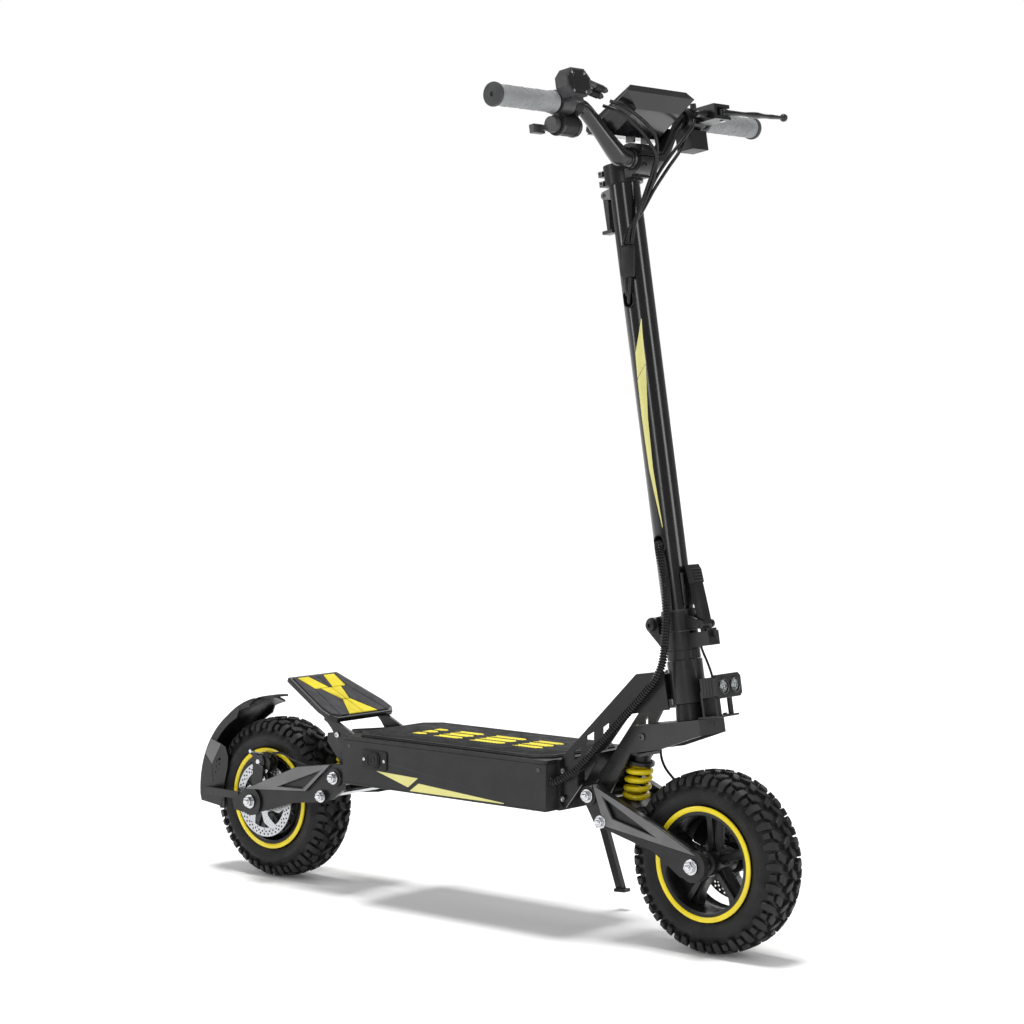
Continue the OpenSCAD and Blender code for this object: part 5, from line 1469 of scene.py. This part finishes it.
def left_controls():
    """The lever's pivot caps, the switch pod's buttons and seam, and the cable adjuster."""
    lever = to_steer(at("brake_lever_squeeze"))
    caps = [(steer(lever.x, lever.y, lever.z + side * 11), UP_STEM * side) for side in (1, -1)]
    screws("lever_pivot_caps", caps, 4.2, 1.6, "stem", mat=STEEL)
    pod = RING_Y - 36
    buttons = Shape()
    for y in (pod + 8, pod + 19, pod + 30):
        buttons.join(lathe(disc(3.4, 1.6, 0.5), steer(GRIP.x - 13.9, y, GRIP.z - 23), -AHEAD, 24))
    buttons.make("switch_buttons", SHINY_PLASTIC, "stem", "plastic_black", smooth=34)
    seam = brick((GRIP.x - 14.25, GRIP.x + 14.25), (pod + 17.5, pod + 18.1), (GRIP.z - 46.2, GRIP.z - 45.4),
                 steer)
    seam.make("switch_pod_seam", SHINY_PLASTIC, "stem", "plastic_black")
    a = steer(lever.x - 7.2, RING_Y - 26, lever.z - 1.0)
    b = steer(lever.x - 4, RING_Y - 54, lever.z - 5)
    adjuster = lathe(knurled(4.8, 5, 3.2, [(4.0, 20), (3.4, 24), (2.8, 29), (0, 29)]), a, b - a, 24)
    adjuster.make("left_cable_adjuster", PLASTIC, "stem", "cast_black", smooth=34)


refine("brake_body_right", CONTROL_GREY, 1.2, 3)
refine("throttle_body", PLASTIC, 0.8)
refine("throttle_paddle", CONTROL_GREY, 0.9, 3)
refine("brake_body_left", BLACK_PAINT, 1.0, 3)
refine("switch_pod", PLASTIC, 1.2, 3)
refine("switch_rocker", YELLOW, 0.7)
clamp_screws()
right_controls()
throttle()
left_controls()
brake_lever()


# ---------------------------------------------------------------- display

DISPLAY = steer(CLAMP.x, 0, CLAMP.z)
FACE_TILT = math.atan2(48, 79)


def on_display(a, b, h):
    """a climbs the display's sloping face from the mode button, b to the left, h out of the face."""
    s, c = math.sin(FACE_TILT), math.cos(FACE_TILT)
    return DISPLAY + Vector((-20 + a * c - h * s, b, 62.6 + a * s + h * c))


def digit(marks, x, y, size):
    """The seven bars of one plain figure eight."""
    w, h, t = size * 0.5, size, size * 0.13
    bars = [(0, k, w, t) for k in (h, h / 2, 0)]
    bars += [(side * w / 2, k * h, t, h * 0.42) for side in (-1, 1) for k in (0.25, 0.75)]
    for dx, dy, wide, tall in bars:
        across = (-x - dx - wide / 2, -x - dx + wide / 2)
        marks.join(brick((y + dy - tall / 2, y + dy + tall / 2), across, (0.75, 0.95), on_display))


def display():
    """The screen in its bezel, its figures, and vents beside it."""
    glass = [(12, -40), (12, 40), (44, 48), (50, 44), (50, -44), (44, -48)]
    prism([glass], on_display, -0.3, 0.8).make("display_screen", SCREEN, "stem", "plastic_black", bevel=0.5)
    rim = [(9, -44), (9, 44), (46, 52), (53.5, 47), (53.5, -47), (46, -52)]
    bezel = prism([rim, glass], on_display, -0.4, 1.0)
    bezel.make("display_bezel", SHINY_PLASTIC, "stem", "plastic_black", bevel=0.5)
    marks = Shape()
    digit(marks, -9, 22, 18)
    digit(marks, 5, 22, 18)
    for i in range(5):
        marks.join(brick((18, 20.5), (20 - 7 * i, 25 - 7 * i), (0.75, 0.95), on_display))
    marks.make("display_figures", LED, "stem", "plastic_black")
    vents = Shape()
    for across in ((-56, -50), (50, 56)):
        for i in range(4):
            vents.join(brick((-4 + 5 * i, -1.6 + 5 * i), across, (-0.3, 0.7), on_display))
    vents.make("display_vents", PLASTIC, "stem", "plastic_black")


refine("display_body", SHINY_PLASTIC, 1.6, 3)
refine("mode_button", CONTROL_GREY, 0.6)
display()


# ---------------------------------------------------------------- cables and the wiring loom

CABLES = (
    ((322, -86, 1174), (338, -74, 1166), (348, -48, 1150), (350, -24, 1134), (347, -12, 1114),
     (340, -10, 1088),
     (328, -16, 1049), (321, -27, 1012), (319.5, -33, 980.9)),
    ((312, -88, 1168), (336, -80, 1158), (344, -54, 1140), (346, -28, 1120), (345, -10, 1100),
     (337, -8, 1070),
     (326, -17, 1035), (316, -30, 1003), (314.5, -33, 980.9)),
    ((328, 100, 1162), (342, 76, 1150), (346, 44, 1126), (343, 20, 1102), (335, 3, 1076), (324, -10, 1042),
     (313, -26, 1006), (309.5, -33, 980.9)),
    ((314, 100, 1146), (336, 70, 1136), (348, 38, 1112), (345, 16, 1088), (333, 0, 1058), (320, -12, 1026),
     (308, -29, 998), (304.5, -33, 980.9)),
    ((309, -33, 935.2), (308.5, -32, 927), (307, -28, 914), (306.5, -22, 908), (306.5, -13, 907)),
    ((316, -33, 935.2), (315, -32.5, 924), (311, -29, 907), (308, -23, 899), (307, -13, 897.8)),
)
LOOM_LOW = ((221.8, -88, 225), (227, -88, 225.5), (240, -82, 234), (260, -73, 250), (286, -64, 280),
            (317, -56, 315),
            (347, -49, 348), (369, -44, 375), (379, -41, 397), (383, -40, 418), (383.5, -40, 423))
LOOM_HIGH = ((383.6, -40, 424.4), (384, -40, 429), (385, -39, 450), (385, -38, 474), (382, -38, 512),
             (374, -37, 543),
             (367, -32, 559), (363, -27, 564), (362, -21, 565), (362, -15, 565))


def bar_cables():
    """The control cables, into the sleeve and on into the stem."""
    shape = Shape()
    for route in CABLES:
        shape.join(tube(smooth_path(route, 10), 2.45, 14))
    shape.make("control_cables", CABLE_BLACK, "stem", "cable_black", replaces=("bar_cables",), smooth=60)


def corrugated(points, radius):
    """A wiring loom: a tube with a raised ring every four millimetres."""
    path = even_path(smooth_path(points, 16), 0.8)
    waves = (0.0, 0.2, 1.9, 1.9, 0.2)
    return tube(path, [radius - waves[k % 5] for k in range(len(path))], 16)


def loom(name, node, route):
    """A length of loom along its route, put on no body."""
    piece = corrugated(route, 6.0).make(name, CABLE_BLACK, None, "cable_black", replaces=(node,), smooth=50)
    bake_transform(piece)


def sleeve():
    """The flat moulded sleeve that gathers the cables, with rounded shoulders."""
    low, high = corners("cable_sleeve")
    mid = (low + high) / 2
    shoulder = ((0, 0.55), (1.5, 0.8), (6, 1.0))
    levels = [(low.z + d, k) for d, k in shoulder] + [(high.z - d, k) for d, k in reversed(shoulder)]
    turns = [2 * math.pi * i / 28 for i in range(28)]
    rings = []
    for z, k in levels:
        half_width = [7.5 * (1 if math.cos(a) > 0 else -1) + 4.5 * math.cos(a) for a in turns]
        rings.append([(mid.x + x * (0.82 + 0.18 * k), mid.y + 4.5 * math.sin(a) * k, z)
                      for x, a in zip(half_width, turns)])
    loft(rings).make("cable_gather", PLASTIC, "stem", "plastic_black", replaces=("cable_sleeve",), smooth=40)


bar_cables()
loom("loom_low", "loom_lower", LOOM_LOW)
loom("loom_high", "loom_upper", LOOM_HIGH)
sleeve()


# ---------------------------------------------------------------- fender, calipers and stand

FENDER_R = TYRE_R + 35
FENDER_SLOT = slot_of_node["rear_fender"]


def fender_band(r0, r1, a0, a1, y0, y1):
    """A strip that follows the fender's curve: between two radii, two angles and two distances across."""
    steps = max(2, int(abs(a1 - a0) / 2))
    rings = []
    for i in range(steps + 1):
        place = around(REAR_AXLE, math.radians(a0 + (a1 - a0) * i / steps))
        rings.append([place(r, 0, y) for r, y in ((r0, y0), (r0, y1), (r1, y1), (r1, y0))])
    return loft(rings)


# The fender's side panel and its grey facet, measured from the wheel's centre
SIDE_PANEL = ((-140, 59), (-125.5, 86), (-102, 78.7), (-91.4, 73.8), (-85.9, 58.6), (-87, 42.9),
              (-96.2, 10.8),
              (-99.2, -10), (-104, -23), (-149, -18), (-151.5, 0), (-148, 32))
SIDE_FACET = ((-139, 59.5), (-125.2, 85), (-102.5, 78), (-123.6, 44))
SIDE_CREASE = ((-137.5, 57), (-124.4, 43.3), (-121, 14), (-149.5, 8), (-147, 31))


def fender_details():
    """Side panels with vents, their grey facets and creases, their screws, and ridges along the top."""
    vents = [[(x, z), (x + 9, z + 6), (x + 9, z + 9.5), (x, z + 3.5)]
             for x, z in ((-113, 47), (-114.5, 38), (-116, 29))]
    layers = (("fender_sides", [SIDE_PANEL] + vents, 40.5, 41.4, BLACK_PAINT, 0.35),
              ("fender_facets", [SIDE_FACET], 41.3, 41.9, GREY_PAINT, 0.25),
              ("fender_creases", [SIDE_CREASE], 41.3, 41.8, BLACK_PAINT, 0.25))
    for name, loops, low, high, mat, bevel in layers:
        shape = Shape()
        for side in (-1, 1):
            shape.join(prism(loops, lambda a, b, h: around(REAR_AXLE, 0)(a, b, side * h), low, high))
        shape.make(name, mat, "rear_arm", FENDER_SLOT, bevel=bevel)
    heads = [(around(REAR_AXLE, 0)(x, z, side * 41.3), ACROSS * side) for side in (-1, 1)
             for x, z in ((-130, 1), (-116, 0.5))]
    screws("fender_screws", heads, 3.0, 1.4, "rear_arm")
    ridges = Shape()
    for y in (-22, 22):
        ridges.join(fender_band(FENDER_R - 4.4, FENDER_R - 0.6, 106, 178, y - 3.0, y + 3.0))
    ridges.make("fender_ridges", BLACK_PAINT, "rear_arm", FENDER_SLOT, bevel=0.8)


def caliper(node, body, axle, side, angle, arm_face):
    """A cable disc brake: two halves and a bridge on a bracket, its arm, bolts, cable and adjuster."""
    turned = around(axle, math.radians(angle))

    def place(out, across, y):
        return turned(out, across, side * y)

    outward, along = ACROSS * side, place(0, 1, 0) - place(0, 0, 0)
    half = [(73, 15), (66, 21), (52, 19), (46, 13)]
    front = [(a, -b) for a, b in half[::-1]] + half
    halves = prism([front], place, 45.2, 56.5).join(prism([front], place, 37.0, 40.8))
    halves.join(prism([[(64, -15), (73, -13), (73, 13), (64, 15)]], place, 40.0, 46.0))
    bracket = [(24, -11), (56, -11), (60, 0), (56, 11), (24, 11)]
    halves.join(prism([bracket], place, arm_face - 2.4, arm_face - 0.1))
    halves.join(prism([[(36, -9), (50, -12), (50, 12), (36, 9)]], place, arm_face - 7, arm_face - 0.2))
    halves.make(node + "_halves", CAST, body, "cast_black", replaces=(node,), bevel=1.6, segments=3)
    top = min(arm_face - 0.4, 60.8)
    pivot = place(62, 2, 0)
    drum = [(0, 56.0), (11.5, 56.0), (12, 56.6), (12, top - 1.6), (11, top - 0.9), (0, top - 0.9)]
    arm = [(57, -6), (66, -7), (77, 14), (79, 24), (72, 25), (66, 10)]
    lever = lathe(drum, pivot, outward, 40).join(prism([arm], place, top - 2.4, top - 0.4))
    lever.make(node + "_arm", BLACK_PAINT, body, "cast_black", bevel=0.5)
    metal = hexagon(pivot, outward, 4.6, top - 1.0, top + 1.4)
    metal.join(hexagon(place(75.5, 20.5, 0), outward, 3.2, top - 0.6, top + 1.6, 15))
    for across in (-15, 15):
        metal.join(socket_screw(place(50, across, 56.4), outward, 3.0, 2.4))
    metal.join(tube([place(75.5, 20, top + 0.4), place(75.5, -10, 54)], 0.8, 8))
    metal.make(node + "_bolts", STEEL, body, "steel", smooth=30)
    barrel = [(0, -22), (3.6, -22), (3.6, -18)]
    for k in range(4):
        barrel += [(4.6, -17.6 + 3 * k), (4.6, -15.8 + 3 * k), (3.8, -15.4 + 3 * k)]
    barrel += [(2.6, -3), (0, -3)]
    lathe(barrel, place(75, 0, 54), along, 24).make(node + "_barrel", PLASTIC, body, "cast_black", smooth=34)


# ---------------------------------------------------------------- thin wires

def wire(name, points, r, first, second=None, start=None, end=None):
    """A wire along its points, on its first body, or on no body when a second body is given."""
    path = smooth_path(points, 10)
    obj = tube(path, r, 10).make(name, CABLE_BLACK, None if second else first, "cable_black", smooth=60)
    if second:
        Vector(points[start]) / 1000
        Vector(points[end]) / 1000
        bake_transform(obj)


REAR_BRAKE_CABLE = ((-384, -54, 203), (-360, -55, 207), (-330, -57, 200), (-296, -58, 193), (-262, -58, 190),
                    (-226, -57, 193), (-200, -56, 199), (-183, -56, 203))
FRONT_BRAKE_CABLE = ((332, 22, 282), (328, 26, 262), (330, 33, 243), (340, 42, 225), (355, 49, 207),
                     (368, 53, 190), (376, 54, 172))
LAMP_FEED = ((50, -8, 31.5), (48, -8, 42), (43, -7, 56), (38, -6, 68), (36, -6, 76))  # in the steering frame


refine("rear_fender", BLACK_PAINT, 0.7)
refine("kickstand", BLACK_PAINT, 1.2, 3)
fender_details()
caliper("front_caliper", "front_arm", FRONT_AXLE, 1, 150, FRONT_ARM_Y - 12)
caliper("rear_caliper", "rear_arm", REAR_AXLE, -1, 84, REAR_ARM_Y - 12)
wire("rear_brake_cable", REAR_BRAKE_CABLE, 2.0, "rear_arm", "frame", 3, 6)
wire("front_brake_cable", FRONT_BRAKE_CABLE, 1.9, "steerer", "front_arm", 1, 5)
wire("lamp_feed", [steer(*p) for p in LAMP_FEED], 1.8, "steerer")
